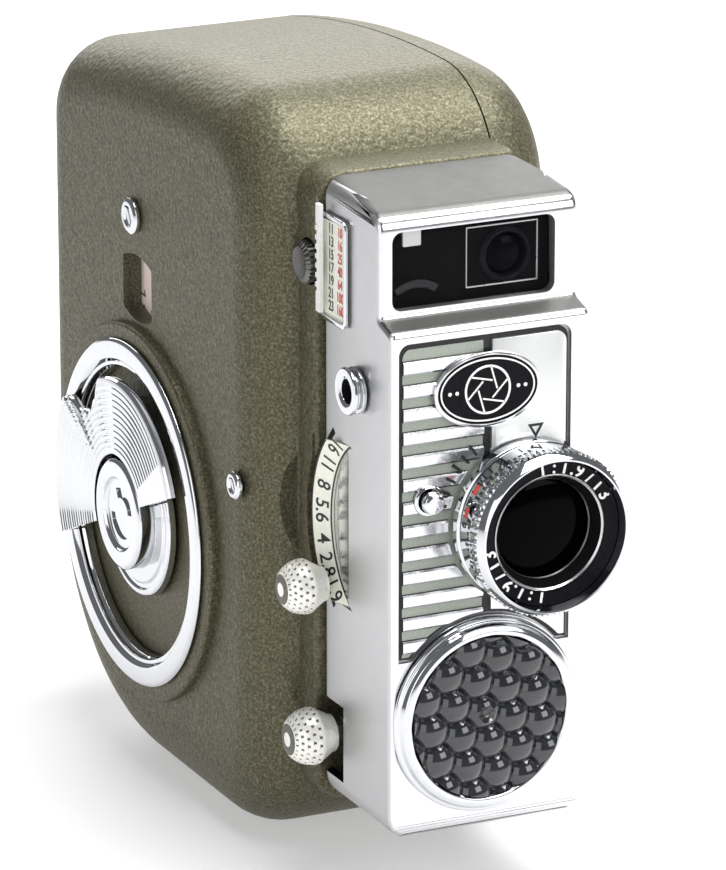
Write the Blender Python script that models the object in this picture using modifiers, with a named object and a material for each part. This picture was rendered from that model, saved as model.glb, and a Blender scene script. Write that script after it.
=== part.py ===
"""Spring-wound double-8 cine camera with a selenium meter.

The model stands on the flat of its bottom. The origin is on that flat, under the middle of the
meter cell and halfway along the body. The lens looks along -Y, the winding side faces -X, the
film door faces +X and +Z is up.
Lengths are drawn in units of UNIT metres.
"""

import math

import bmesh
import bpy
from mathutils import Matrix, Vector

UNIT = 0.00107          # metres in one drawing unit
GAP = 0.3               # clearance between neighbours

# Body: a rounded block, cut by the door seam
WINDING_X = -24.2       # the two sides
DOOR_X = 28.3
EDGE = 10.5             # rounding between the sides and the outline
WALL = 2.4
SEAM = 16.6             # x of the door seam
DOME_RADIUS = 265.0
DOME_TOP = (-22.0, 122.3)
CORNERS = {             # name: (centre y, centre z, radius)
    "rear_bottom": (4.0, 41.0, 41.0),
    "rear_top": (31.0, 102.64, 14.0),
    "front_top": (-26.0, 103.27, 19.0),
    "front_bottom": (-26.0, 19.0, 19.0),
}
SIDE_WALL_X = -21.0     # inside of the winding side
PLINTH_FRONT = -50.3

# Front housing: a two-tier cap
CAP_LEFT = -16.03
CAP_RIGHT = 17.8
CAP_REAR = -50.65
CAP_FACE = -74.4
CAP_UPPER = -70.1
CAP_BOTTOM = 12.2
CAP_STEP = 94.1
CAP_TOP = 113.2
CAP_WALL = 1.6

LENS = (6.9, 62.1)      # x, z of the optical axis
CELL = (0.0, 31.2)      # x, z of the selenium cell
PIN = (-9.6, 67.1)      # x, z of the lock pin
FINDER = (6.8, 102.3)   # x, z of the finder axis
DIAL = (-67.85, 59.1)   # y, z of the aperture dial
DIAL_RADII = (15.4, 18.9)   # the conical scale's inner and outer edge
DIAL_RISE = 13.0        # half its height
KNOB_RADIUS = 17.9      # the aperture knob's way round the dial
KNOB_ANGLE = -36.6      # and its place on it at rest, from the rear, in degrees
RELEASE = (-54.0, 23.7)
SPEED_WHEEL = (-47.9, 99.0)
SOCKET = (-63.2, 82.4)
WINDER = (3.0, 44.3)    # y, z of the winding axis
COUNTER = (12.4, 88.0)
COUNTER_WINDOW = (3.2, 82.1)
LATCH = (3.0, 62.0)
TRIPOD = (0.0, -12.0)   # x, y of the tripod bush
SIDE_SCREWS = (((4.0, 94.1), 3.0), ((-36.4, 60.4), 2.3))    # (y, z) and head radius

# Works
PLATE = (-1.5, 0.0)     # x of the dividing plate's two faces
SUPPLY = (12.0, 74.5)
TAKE_UP = (-4.0, 29.2)
SPOOL_RADIUS = 23.74    # 50.8 mm across
TRAIN_ANGLE = 140.0     # directions from one gear axis to the next, from the rear
DRIVE_ANGLE = 160.0
GOVERNOR_ANGLE = 60.0
BARREL_TEETH = 32
BARREL_MODULE = 1.25
WHEEL_TEETH = 24
WHEEL_MODULE = 1.0
PINION_TEETH = 8
SHUTTER = (-2.0, 66.1)  # x, z of the shutter axis
SHUTTER_RADIUS = 13.2
ROLLERS = ((-32.5, 82.0), (-32.5, 46.5))
PILLARS = ((-31.0, 24.0), (33.0, 60.0), (26.0, 103.0), (-28.0, 106.0))
METER = (-7.2, 96.0)    # x, z of the needle's pivot
SPINDLE_END = 19.2      # x where the spool spindles end, clear of the latch bar
RATCHET_RADII = (8.05, 6.6)

# colour, roughness, metallic
FINISHES = {
    "lacquer": ((0.20, 0.19, 0.15), 0.45, 0.5),
    "satin": ((0.72, 0.72, 0.74), 0.35, 1.0),
    "chrome": ((0.86, 0.86, 0.87), 0.08, 1.0),
    "cream": ((0.86, 0.85, 0.76), 0.35, 0.2),
    "steel": ((0.55, 0.55, 0.56), 0.3, 1.0),
    "brass": ((0.72, 0.55, 0.25), 0.3, 1.0),
    "black": ((0.02, 0.02, 0.02), 0.4, 0.0),
    "glass": ((0.05, 0.05, 0.07), 0.05, 0.0),
    "ribbed": ((0.62, 0.64, 0.60), 0.3, 0.9),
}

X, Y, Z = Vector((1, 0, 0)), Vector((0, 1, 0)), Vector((0, 0, 1))
# Turns a drawing plane (u, v) and its normal into the model's axes
PLANES = {
    "YZ": Matrix((Y, Z, X)).transposed(),    # u = y, v = z, normal +X
    "XZ": Matrix((X, Z, -Y)).transposed(),   # u = x, v = z, normal -Y
    "XY": Matrix((X, Y, Z)).transposed(),    # u = x, v = y, normal +Z
}


# ---------------------------------------------------------------- scene helpers

def clear_scene():
    for obj in list(bpy.data.objects):
        bpy.data.objects.remove(obj)


def add_collection(name):
    collection = bpy.data.collections.new(name)
    bpy.context.scene.collection.children.link(collection)
    return collection


def add_object(name, mesh, finish):
    """Links a mesh as a part, or as a hidden helper when it has no finish."""
    obj = bpy.data.objects.new(name, mesh)
    if finish is None:
        HELPERS.objects.link(obj)
        obj.hide_render = True
        obj.display_type = "WIRE"
        return obj
    PARTS.objects.link(obj)
    colour, roughness, metallic = FINISHES[finish]
    material = bpy.data.materials.new(name)
    material.use_nodes = True
    shader = material.node_tree.nodes["Principled BSDF"]
    shader.inputs["Base Color"].default_value = (*colour, 1.0)
    shader.inputs["Roughness"].default_value = roughness
    shader.inputs["Metallic"].default_value = metallic
    mesh.materials.append(material)
    return obj


def smooth(mesh):
    mesh.shade_smooth()
    mesh.set_sharp_from_angle(angle=math.radians(35))


def boolean(obj, other, operation):
    modifier = obj.modifiers.new(other.name, "BOOLEAN")
    modifier.operation = operation
    modifier.object = other
    return obj


def cut(obj, *others):
    for other in others:
        boolean(obj, other, "DIFFERENCE")
    return obj


def join(obj, *others):
    for other in others:
        boolean(obj, other, "UNION")
    return obj


def bevel(obj, width, segments=2, angle=50):
    modifier = obj.modifiers.new("edge", "BEVEL")
    modifier.width = width * UNIT
    modifier.segments = segments
    modifier.limit_method = "ANGLE"
    modifier.angle_limit = math.radians(angle)
    modifier.use_clamp_overlap = False
    return obj


def origin_at(obj, point):
    """Moves an object's origin to a point of its joint's axis."""
    place = Vector(point) * UNIT
    shift = obj.matrix_world.inverted() @ place
    obj.data.transform(Matrix.Translation(-shift))
    obj.location = place
    return obj


# ---------------------------------------------------------------- outlines

def arc(centre, radius, start, end, count):
    """Points of an arc; angles are in degrees from +u towards +v."""
    points = []
    for step in range(count + 1):
        angle = math.radians(start + (end - start) * step / count)
        points.append((centre[0] + radius * math.cos(angle), centre[1] + radius * math.sin(angle)))
    return points


def circle(centre, radius, count=24):
    return arc(centre, radius, 0, 360, count)[:-1]


def rectangle(low, high, radius=0.0, count=3):
    """A rectangle with rounded corners."""
    if radius == 0:
        return [low, (high[0], low[1]), high, (low[0], high[1])]
    points = []
    for u, v, start in (
        (high[0] - radius, low[1] + radius, -90),
        (high[0] - radius, high[1] - radius, 0),
        (low[0] + radius, high[1] - radius, 90),
        (low[0] + radius, low[1] + radius, 180),
    ):
        points += arc((u, v), radius, start, start + 90, count)
    return points


def oval(centre, half_u, half_v, count=32):
    return [(centre[0] + half_u * u, centre[1] + half_v * v) for u, v in circle((0, 0), 1, count)]


def sector(centre, inner, outer, start, end, count=12):
    """A band between two radii."""
    return arc(centre, outer, start, end, count) + arc(centre, inner, end, start, count)


def barrel_window(grow):
    """The counter window: straight front and rear edges, arched top and bottom."""
    y, z = COUNTER_WINDOW
    half_u, half_v, rise = 5.4 + grow, 3.9 + grow, 1.3
    top = [(y + half_u * (1 - step / 3), z + half_v + rise * (1 - (1 - step / 3) ** 2)) for step in range(7)]
    bottom = [(2 * y - u, 2 * z - v) for u, v in top]
    return top + bottom


def body_outline(inset, count=6):
    """The side outline of the body, moved inwards."""
    dome_centre = (DOME_TOP[0], DOME_TOP[1] - DOME_RADIUS)

    def towards(name):
        y, z, _ = CORNERS[name]
        return math.degrees(math.atan2(z - dome_centre[1], y - dome_centre[0]))

    def corner(name, start, end, steps):
        y, z, radius = CORNERS[name]
        return arc((y, z), radius - inset, start, end, steps)

    rear, front = towards("rear_top"), towards("front_top")
    points = corner("rear_bottom", -90, 0, count + 4)
    points += corner("rear_top", 0, rear, count)
    points += arc(dome_centre, DOME_RADIUS - inset, rear, front, count)[1:-1]
    points += corner("front_top", front, 180, count)
    points += corner("front_bottom", 180, 270, count)
    return points


def gear_outline(centre, teeth, module, phase):
    """Straight-flanked teeth with running clearance; a tooth stands at the phase angle."""
    pitch_radius = teeth * module / 2
    tip, root = pitch_radius + 0.75 * module, pitch_radius - 1.05 * module
    step = 360 / teeth
    points = []
    for tooth in range(teeth):
        middle = phase + tooth * step
        for radius, share in ((root, -0.31), (tip, -0.10), (tip, 0.10), (root, 0.31)):
            points += arc(centre, radius, middle + share * step, middle + share * step, 1)[:1]
    return points


# ---------------------------------------------------------------- solids

def slab(name, plane, outlines, low, high, finish=None):
    """A flat outline, with holes where further outlines are given, between two depths."""
    normal = PLANES[plane].col[2]
    middle = (low + high) / 2 * (-1 if plane == "XZ" else 1)
    curve = bpy.data.curves.new(name, "CURVE")
    curve.dimensions = "2D"
    curve.fill_mode = "BOTH"
    curve.extrude = abs(high - low) / 2 * UNIT
    for outline in outlines:
        spline = curve.splines.new("POLY")
        spline.points.add(len(outline) - 1)
        spline.use_cyclic_u = True
        for point, (u, v) in zip(spline.points, outline):
            point.co = (u * UNIT, v * UNIT, 0, 1)
    guide = bpy.data.objects.new(name, curve)
    bpy.context.scene.collection.objects.link(guide)
    bpy.context.view_layer.update()
    mesh = bpy.data.meshes.new_from_object(guide.evaluated_get(bpy.context.evaluated_depsgraph_get()))
    bpy.data.objects.remove(guide)
    solid = bmesh.new()
    solid.from_mesh(mesh)
    bmesh.ops.remove_doubles(solid, verts=solid.verts, dist=1e-6)
    bmesh.ops.dissolve_limit(solid, angle_limit=0.001, verts=solid.verts, edges=solid.edges)
    bmesh.ops.recalc_face_normals(solid, faces=solid.faces)
    solid.to_mesh(mesh)
    solid.free()
    mesh.materials.clear()
    mesh.transform(PLANES[plane].to_4x4())
    mesh.transform(Matrix.Translation(normal * middle * UNIT))
    mesh.name = name
    smooth(mesh)
    return add_object(name, mesh, finish)


def block(name, low, high, finish=None):
    solid = bmesh.new()
    bmesh.ops.create_cube(solid, size=1)
    mesh = bpy.data.meshes.new(name)
    solid.to_mesh(mesh)
    solid.free()
    size = [high[i] - low[i] for i in range(3)]
    middle = [(high[i] + low[i]) / 2 for i in range(3)]
    mesh.transform(Matrix.Diagonal((*size, 1)))
    mesh.transform(Matrix.Translation(middle))
    mesh.transform(Matrix.Scale(UNIT, 4))
    return add_object(name, mesh, finish)


def turned(name, axis, centre, profile, finish=None, steps=24):
    """Turns a profile of (radius, depth) points; the depth is the coordinate along the axis.

    The profile closes on itself, or starts and ends on the axis.
    """
    flip = -1 if axis == "Y" else 1
    points = [(radius, depth * flip) for radius, depth in profile]
    area = sum(a[0] * b[1] - b[0] * a[1] for a, b in zip(points, points[1:] + points[:1]))
    if area > 0:
        points.reverse()
    solid = bmesh.new()
    verts = [solid.verts.new((radius * UNIT, 0, depth * UNIT)) for radius, depth in points]
    for first, second in zip(verts, verts[1:]):
        solid.edges.new((first, second))
    if points[0][0] > 0:
        solid.edges.new((verts[-1], verts[0]))
    mesh = bpy.data.meshes.new(name)
    solid.to_mesh(mesh)
    solid.free()
    obj = add_object(name, mesh, finish)
    screw = obj.modifiers.new("turn", "SCREW")
    screw.steps = steps
    screw.render_steps = steps
    screw.use_merge_vertices = True
    screw.merge_threshold = 0.00001
    plane = {"X": "YZ", "Y": "XZ", "Z": "XY"}[axis]
    obj.rotation_euler = PLANES[plane].to_euler()
    place = {"X": (0, *centre), "Y": (centre[0], 0, centre[1]), "Z": (*centre, 0)}[axis]
    obj.location = Vector(place) * UNIT
    bpy.context.view_layer.update()
    return obj


def rod(name, axis, centre, radius, low, high, finish=None, steps=16):
    return turned(name, axis, centre, [(0, low), (radius, low), (radius, high), (0, high)], finish, steps)


def tube(name, axis, centre, inner, outer, low, high, finish=None, steps=32):
    profile = [(inner, low), (outer, low), (outer, high), (inner, high)]
    return turned(name, axis, centre, profile, finish, steps)


def body_block(name, inset, low, high, edge):
    """The rounded block of the body, or the hollow in it."""
    obj = slab(name, "YZ", [body_outline(inset)], low, high)
    return bevel(obj, edge, segments=3, angle=60)


# ---------------------------------------------------------------- body and door

def make_casting():
    casting = slab("body_casting", "YZ", [body_outline(0)], WINDING_X, DOOR_X, "lacquer")
    bevel(casting, EDGE, segments=3, angle=60)
    plinth = rectangle((-17.3, 10.8), (SEAM - GAP, 113.4), 5.0, 4)
    join(casting, slab("plinth", "XZ", [plinth], PLINTH_FRONT, -41.0))
    boss = circle(WINDER, 31.4, 36)
    join(casting, slab("winding_boss", "YZ", [boss], WINDING_X - 1.5, -23.0))
    rim_start = math.degrees(math.acos((PLINTH_FRONT + 0.6 - DIAL[0]) / 22.2))
    rim = arc(DIAL, 22.2, -rim_start, rim_start, 16)
    join(casting, slab("dial_rim", "YZ", [rim], -18.3, -10.0))
    cut(casting, body_block("body_hollow", WALL, SIDE_WALL_X, DOOR_X - WALL, EDGE - WALL))
    cut(casting, block("door_side", (SEAM - GAP / 2, -60, -10), (60, 60, 140)))
    cut(casting, slab("winding_recess", "YZ", [circle(WINDER, 24.4, 32)], -40, -23.2))
    cut(casting, slab("arbor_hole", "YZ", [circle(WINDER, 3.0, 12)], -30, -15))
    cut(casting, slab("counter_hole", "YZ", [barrel_window(0.35)], -30, -15))
    pocket_end = rim_start - 4
    pocket = arc(DIAL, 20.2, -pocket_end, pocket_end, 16)
    pocket = [(CAP_REAR - 2, DIAL[1] - 14.5)] + pocket + [(CAP_REAR - 2, DIAL[1] + 14.5)]
    cut(casting, slab("dial_pocket", "YZ", [pocket], -30, -12.6))
    scallop = sector(DIAL, 15.0, 25.0, -48, 48, 16)
    cut(casting, slab("knob_clearance", "YZ", [scallop], -40, -17.6))
    cut(casting, rod("light_hole", "Y", LENS, 6.0, -60, -38, steps=20))
    x, z = FINDER
    cut(casting, block("finder_hole", (x - 4.8, -60, z - 4.0), (x + 4.8, -35, z + 4.0)))
    cut(casting, rod("eyepiece_hole", "Y", FINDER, 5.4, 35, 60, steps=20))
    cut(casting, rod("tripod_hole", "Z", TRIPOD, 6.3, -5, 5, steps=24))
    cut(casting, rod("wheel_hole", "X", SPEED_WHEEL, 1.3, -30, -12, steps=12))
    cut(casting, rod("wheel_pocket", "X", SPEED_WHEEL, 3.7, -30, -16.0, steps=24))
    for index, (centre, radius) in enumerate(SIDE_SCREWS):
        cut(casting, rod(f"screw_hole_{index}", "X", centre, radius * 0.45 + GAP, -30, -15, steps=12))


def make_door():
    door = slab("film_door", "YZ", [body_outline(0)], WINDING_X, DOOR_X, "lacquer")
    bevel(door, EDGE, segments=3, angle=60)
    cut(door, body_block("door_hollow", WALL, SIDE_WALL_X, DOOR_X - WALL, EDGE - WALL))
    cut(door, block("body_side", (-60, -60, -10), (SEAM + GAP / 2, 60, 140)))
    join(door, slab("lip_foot", "YZ", [body_outline(1.6), body_outline(4.6)], SEAM + 1.0, SEAM + 2.6))
    join(door, slab("door_lip", "YZ", [body_outline(3.6), body_outline(4.8)], SEAM - 2, SEAM + 3))
    cut(door, rod("latch_recess", "X", LATCH, 12.2, DOOR_X - 1.0, 40, steps=24))
    cut(door, rod("latch_hole", "X", LATCH, 2.4, 15, 40, steps=16))


def make_latch():
    disc = [(0, 25.0), (2.0, 25.0), (2.0, 27.6), (11.7, 27.6), (11.7, 28.6), (11.0, 29.0), (0, 29.0)]
    latch = turned("door_latch", "X", LATCH, disc, "chrome", 24)
    y, z = LATCH
    grip = slab("latch_grip", "YZ", [rectangle((y - 10.0, z - 1.6), (y + 10.0, z + 1.6), 1.4)], 28.1, 31.5)
    join(latch, bevel(grip, 0.4, 1, 60))
    bar = slab("latch_bar", "YZ", [rectangle((y - 15, z - 2.5), (y + 15, z + 2.5), 2.0)], 23.6, 24.7, "steel")
    origin_at(bar, (0, y, z))
    y, z = SUPPLY
    spring = rectangle((y - 3, z - 11), (y + 3, z + 11), 2.5)
    slab("spool_spring", "YZ", [spring], 24.8, 25.6, "steel")


def make_side_details():
    slab("counter_glass", "YZ", [barrel_window(0)], -23.6, -22.8, "glass")
    for (centre, radius), name in zip(SIDE_SCREWS, ("side_screw_upper", "side_screw_front")):
        shank = radius * 0.45
        top = WINDING_X - GAP
        profile = [(0, top - 0.9), (radius * 0.8, top - 0.9), (radius, top - 0.5), (radius, top)]
        profile += [(shank, top), (shank, -21.8), (0, -21.8)]
        turned(name, "X", centre, profile, "chrome", 20)
    bush = [(2.9, 0.4), (5.6, 0.4), (6.0, 0.8), (6.0, 4.9), (2.9, 4.9)]
    turned("tripod_bush", "Z", TRIPOD, bush, "steel", 24)
    ring = [(23.9, -23.5), (24.1, -23.5), (24.1, -26.0), (28.8, -26.0), (28.8, -26.4), (28.2, -26.7)]
    ring += [(25.0, -26.7), (23.9, -25.9)]
    turned("winding_ring", "X", WINDER, ring, "chrome", 32)


# ---------------------------------------------------------------- winding

def make_winder():
    hub = [(0, -28.4), (8.6, -28.4), (9.2, -28.0), (9.2, -25.4), (14.0, -25.0), (14.0, -23.9), (0, -23.9)]
    turned("winding_hub", "X", WINDER, hub, "chrome", 24)
    arbor = rod("winding_arbor", "X", WINDER, 2.6, -23.6, -1.8, "steel", 16)
    outline = key_outline()
    key = slab("winding_key", "YZ", [outline], -28.3, -27.0, "chrome")
    origin_at(key, (-27.0, *key_point(0, 23)))
    teeth = []
    tip, root = RATCHET_RADII
    for tooth in range(16):
        start = tooth * 360 / 16
        teeth += [around(WINDER, tip, start), around(WINDER, root, start + 3)]
    join(arbor, slab("ratchet_wheel", "YZ", [teeth], -6.0, -4.6))
    y, z = WINDER[0] + 12.5, WINDER[1] - 3.0
    pawl = [(y, z + 1.8), (y - 2, z + 1.8), (y - 4.6, z + 0.9), (y - 4.4, z + 0.2), (y - 2, z - 1.2)]
    pawl += [(y, z - 1.8)] + arc((y, z), 1.8, -80, 80, 5)
    outlines = [pawl, circle((y, z), 0.9, 10)]
    spring_pawl = slab("ratchet_pawl", "YZ", outlines, -6.0, -4.6, "steel")
    origin_at(spring_pawl, (0, y, z))


def key_point(radius, angle):
    """A point about the winding axis; the angle runs from the front, upwards."""
    turn = math.radians(angle)
    return (WINDER[0] - radius * math.cos(turn), WINDER[1] + radius * math.sin(turn))


def key_outline():
    """The folding key: a half ring with a finger notch and a lobe that reaches over the ring."""
    outer = [key_point(22.6, angle) for angle in range(23, 112, 8)]
    notch_points = ((19.6, 120), (18.6, 129), (20.6, 139), (25.8, 147))
    notch = [key_point(radius, angle) for radius, angle in notch_points]
    lobe = [key_point(27.4, angle) for angle in range(151, 204, 8)] + [key_point(27.4, 203)]
    inner = [key_point(9.9, angle) for angle in range(203, 22, -12)]
    return outer + notch + lobe + inner


# ---------------------------------------------------------------- spring motor

def around(centre, distance, angle):
    turn = math.radians(angle)
    return (centre[0] + distance * math.cos(turn), centre[1] + distance * math.sin(turn))


def train():
    """Gear axes and the angles at which their teeth stand, so that every pair is in mesh."""
    first_distance = (BARREL_TEETH + PINION_TEETH) * BARREL_MODULE / 2
    second_distance = (WHEEL_TEETH + PINION_TEETH) * WHEEL_MODULE / 2
    middle = around(WINDER, first_distance, TRAIN_ANGLE)
    drive = around(middle, second_distance, DRIVE_ANGLE)
    governor = around(middle, second_distance, GOVERNOR_ANGLE)
    half_pitch = 180 / PINION_TEETH
    wheel_pitch = 360 / WHEEL_TEETH
    lag = (GOVERNOR_ANGLE - DRIVE_ANGLE) % wheel_pitch
    return {
        "barrel": (WINDER, TRAIN_ANGLE),
        "middle_pinion": (middle, TRAIN_ANGLE + 180 + half_pitch),
        "middle_wheel": (middle, DRIVE_ANGLE),
        "drive": (drive, DRIVE_ANGLE + 180 + half_pitch),
        "governor": (governor, GOVERNOR_ANGLE + 180 + half_pitch + lag * WHEEL_TEETH / PINION_TEETH),
    }


def make_motor():
    axes = train()
    cup = [(3.2, -10.2), (19.0, -10.2), (19.0, -19.4), (18.2, -19.4), (18.2, -11.0), (3.2, -11.0)]
    barrel = turned("spring_barrel", "X", WINDER, cup, "brass", 24)
    centre, phase = axes["barrel"]
    teeth = gear_outline(centre, BARREL_TEETH, BARREL_MODULE, phase)
    join(barrel, slab("barrel_gear", "YZ", [teeth, circle(centre, 3.3, 16)], -10.5, -8.2))
    make_mainspring()
    centre, phase = axes["middle_pinion"]
    shaft = rod("intermediate_gear", "X", centre, 1.3, -20.4, -1.8, "brass", 12)
    pinion = gear_outline(centre, PINION_TEETH, BARREL_MODULE, phase)
    join(shaft, slab("intermediate_pinion", "YZ", [pinion], -10.1, -7.9))
    centre, phase = axes["middle_wheel"]
    teeth = gear_outline(centre, WHEEL_TEETH, WHEEL_MODULE, phase)
    join(shaft, slab("intermediate_wheel", "YZ", [teeth], -6.4, -4.9))
    centre, phase = axes["drive"]
    shaft = rod("drive_shaft", "X", centre, 1.1, -15.0, -1.8, "steel", 12)
    pinion = gear_outline(centre, PINION_TEETH, WHEEL_MODULE, phase)
    join(shaft, slab("drive_pinion", "YZ", [pinion], -6.6, -4.7))
    join(shaft, rod("drive_crown", "X", centre, 3.2, -9.4, -8.4, steps=20))
    centre, phase = axes["governor"]
    rotor = rod("governor_rotor", "X", centre, 0.9, -18.0, -1.8, "steel", 12)
    pinion = gear_outline(centre, PINION_TEETH, WHEEL_MODULE, phase)
    join(rotor, slab("governor_pinion", "YZ", [pinion], -6.6, -4.7))
    y, z = centre
    join(rotor, slab("governor_bar", "YZ", [rectangle((y - 6, z - 1.2), (y + 6, z + 1.2))], -15.5, -14.5))
    for side in (-1, 1):
        join(rotor, rod(f"governor_weight_{side + 1}", "X", (y + side * 5, z), 1.9, -17.0, -13.0, steps=12))
    cup = [(1.3, -19.4), (8.8, -19.4), (8.8, -11.5), (8.0, -11.5), (8.0, -18.6), (1.3, -18.6)]
    turned("governor_cup", "X", centre, cup, "brass", 16)


def make_mainspring():
    """A wound strip, from the arbor out to the barrel's wall."""
    turns, steps = 3, 12
    curve = bpy.data.curves.new("mainspring", "CURVE")
    curve.dimensions = "2D"
    curve.extrude = 3.6 * UNIT
    spline = curve.splines.new("POLY")
    spline.points.add(turns * steps)
    for index, point in enumerate(spline.points):
        share = index / (turns * steps)
        y, z = around((0, 0), 4.0 + 13.0 * share, 360 * turns * share)
        point.co = (y * UNIT, z * UNIT, 0, 1)
    guide = bpy.data.objects.new("mainspring", curve)
    bpy.context.scene.collection.objects.link(guide)
    bpy.context.view_layer.update()
    mesh = bpy.data.meshes.new_from_object(guide.evaluated_get(bpy.context.evaluated_depsgraph_get()))
    bpy.data.objects.remove(guide)
    mesh.materials.clear()
    mesh.transform(PLANES["YZ"].to_4x4())
    mesh.name = "mainspring"
    spring = add_object("mainspring", mesh, "steel")
    spring.location = Vector((-15.0, *WINDER)) * UNIT
    strip = spring.modifiers.new("strip", "SOLIDIFY")
    strip.thickness = 0.5 * UNIT
    strip.offset = 0


def make_works():
    outline = body_outline(3.0, 4)
    plate = slab("mechanism_plate", "YZ", [outline], PLATE[0], PLATE[1], "satin")
    cut(plate, block("shutter_notch", (-5, -60, 46), (5, -35.5, 83)))
    cut(plate, block("bush_notch", (-5, TRIPOD[1] - 6.8, -5), (5, TRIPOD[1] + 6.8, 7.5)))
    cut(plate, rod("take_up_hole", "X", TAKE_UP, 2.9, -5, 5, steps=16))
    for index, centre in enumerate(ROLLERS):
        cut(plate, rod(f"roller_hole_{index}", "X", centre, 1.3, -5, 5, steps=10))
    for index, centre in enumerate(PILLARS):
        join(plate, rod(f"pillar_{index + 1}", "X", centre, 2.2, -20.6, -0.5, steps=12))
    join(plate, rod("supply_spindle", "X", SUPPLY, 3.1, -0.5, SPINDLE_END, steps=16))
    blades = arc(SHUTTER, SHUTTER_RADIUS, 200, 390, 20) + arc(SHUTTER, 3.0, 30, 200, 8)
    shutter = slab("shutter_disc", "XZ", [blades], -41.8, -41.3, "black")
    join(shutter, rod("shutter_shaft", "Y", SHUTTER, 1.2, -41.6, -36.9, steps=12))
    join(shutter, rod("shutter_pinion", "Y", SHUTTER, 2.8, -38.2, -37.2, steps=16))
    origin_at(shutter, (SHUTTER[0], 0, SHUTTER[1]))
    x, z = LENS
    gate = [rectangle((1.6, z - 15), (17.6, z + 13), 1.0, 2)]
    gate.append(rectangle((x - 2.6, z - 1.8), (x + 2.6, z + 1.8)))
    gate.append(rectangle((2.0, z - 12.6), (3.6, z - 6.0)))
    slab("film_gate", "XZ", gate, -39.6, -38.2, "steel")
    slab("pressure_plate", "XZ", [rectangle((4.2, z - 10), (17.0, z + 10), 1.0, 2)], -37.4, -36.2, "steel")
    arm = slab("pulldown_claw", "XZ", [rectangle((-10, z - 9), (3.2, z - 6.4))], -40.9, -40.2, "steel")
    join(arm, block("claw_tooth", (2.4, -40.6, z - 8.0), (3.2, -37.8, z - 7.2)))
    for name, centre in zip(("roller_upper", "roller_lower"), ROLLERS):
        profile = [(0, -3.0), (1.0, -3.0), (1.0, 1.0), (3.0, 1.0), (3.0, 3.0), (2.4, 3.4)]
        profile += [(2.4, 15.6), (3.0, 16.0), (3.0, 17.2), (0, 17.2)]
        turned(name, "X", centre, profile, "steel", 10)


def make_spools():
    core = [(0, -3.9), (5.6, -3.9), (5.6, -2.7), (2.6, -2.7), (2.6, 0.8), (3.1, 0.8)]
    core += [(3.1, SPINDLE_END), (0, SPINDLE_END)]
    turned("take_up_spindle", "X", TAKE_UP, core, "steel", 16)
    for name, centre in (("supply_spool", SUPPLY), ("take_up_spool", TAKE_UP)):
        radius = SPOOL_RADIUS
        profile = [(3.5, 1.2), (radius, 1.2), (radius, 2.0), (8.0, 2.0), (8.0, 18.0), (radius, 18.0)]
        profile += [(radius, 18.8), (3.5, 18.8)]
        turned(name, "X", centre, profile, "black", 24)


def make_counter():
    profile = [(0, -20.5), (16.3, -20.5), (16.3, -19.9), (2.4, -19.9), (2.4, -15.0), (0, -15.0)]
    turned("counter_disc", "X", COUNTER, profile, "cream", 20)


# ---------------------------------------------------------------- front housing

def cap_profile(inset):
    """The housing's side outline: lower tier, ledge, upper tier and sloping top."""
    face, upper, top, bottom = CAP_FACE + inset, CAP_UPPER + inset, CAP_TOP - inset, CAP_BOTTOM + inset
    points = [(CAP_REAR + (2 if inset else 0), bottom)]
    points += [(CAP_REAR + (2 if inset else 0), top)]
    points += [(CAP_UPPER + 14.6, top)]
    points += arc((upper + 3.0, CAP_TOP - 4.6), 3.0 if not inset else 2.4, 100, 180, 4)
    points += [(upper, CAP_STEP + 1.1 - inset * 0.2)]
    points += [(face, CAP_STEP - inset)]
    points += arc((face + 2.4, bottom + 2.4), 2.4, 180, 270, 4)
    return points


def cap_outline(inset):
    """The housing's front outline, with rounder corners below than above."""
    left, right = CAP_LEFT + inset, CAP_RIGHT - inset
    low, high = CAP_BOTTOM + inset, CAP_TOP - inset
    points = []
    for u, v, radius, start in (
        (right, low, 4.0, -90), (right, high, 3.2, 0), (left, high, 3.2, 90), (left, low, 4.0, 180),
    ):
        radius -= inset
        inward = -1 if start in (-90, 0) else 1
        upward = -1 if start in (0, 90) else 1
        points += arc((u + inward * radius, v + upward * radius), radius, start, start + 90, 4)
    return points


def cap_block(name, inset, finish=None):
    cap = slab(name, "YZ", [cap_profile(inset)], CAP_LEFT - 5, CAP_RIGHT + 5, finish)
    return boolean(cap, slab(name + "_sides", "XZ", [cap_outline(inset)], -80, -40), "INTERSECT")


def dial_seat(name, depth):
    """A cutter that leaves a cone-shaped seat for the aperture scale."""
    inner, outer = DIAL_RADII
    y, z = DIAL
    profile = [(inner - 0.4, -25), (inner - 0.4, depth), (outer + 0.3, depth - 2.4), (outer + 0.3, -25)]
    reach = block(name + "_reach", (-30, y + 6, z - DIAL_RISE - 0.3), (-10, y + 25, z + DIAL_RISE + 0.3))
    return boolean(turned(name, "X", DIAL, profile, steps=48), reach, "INTERSECT")


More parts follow.
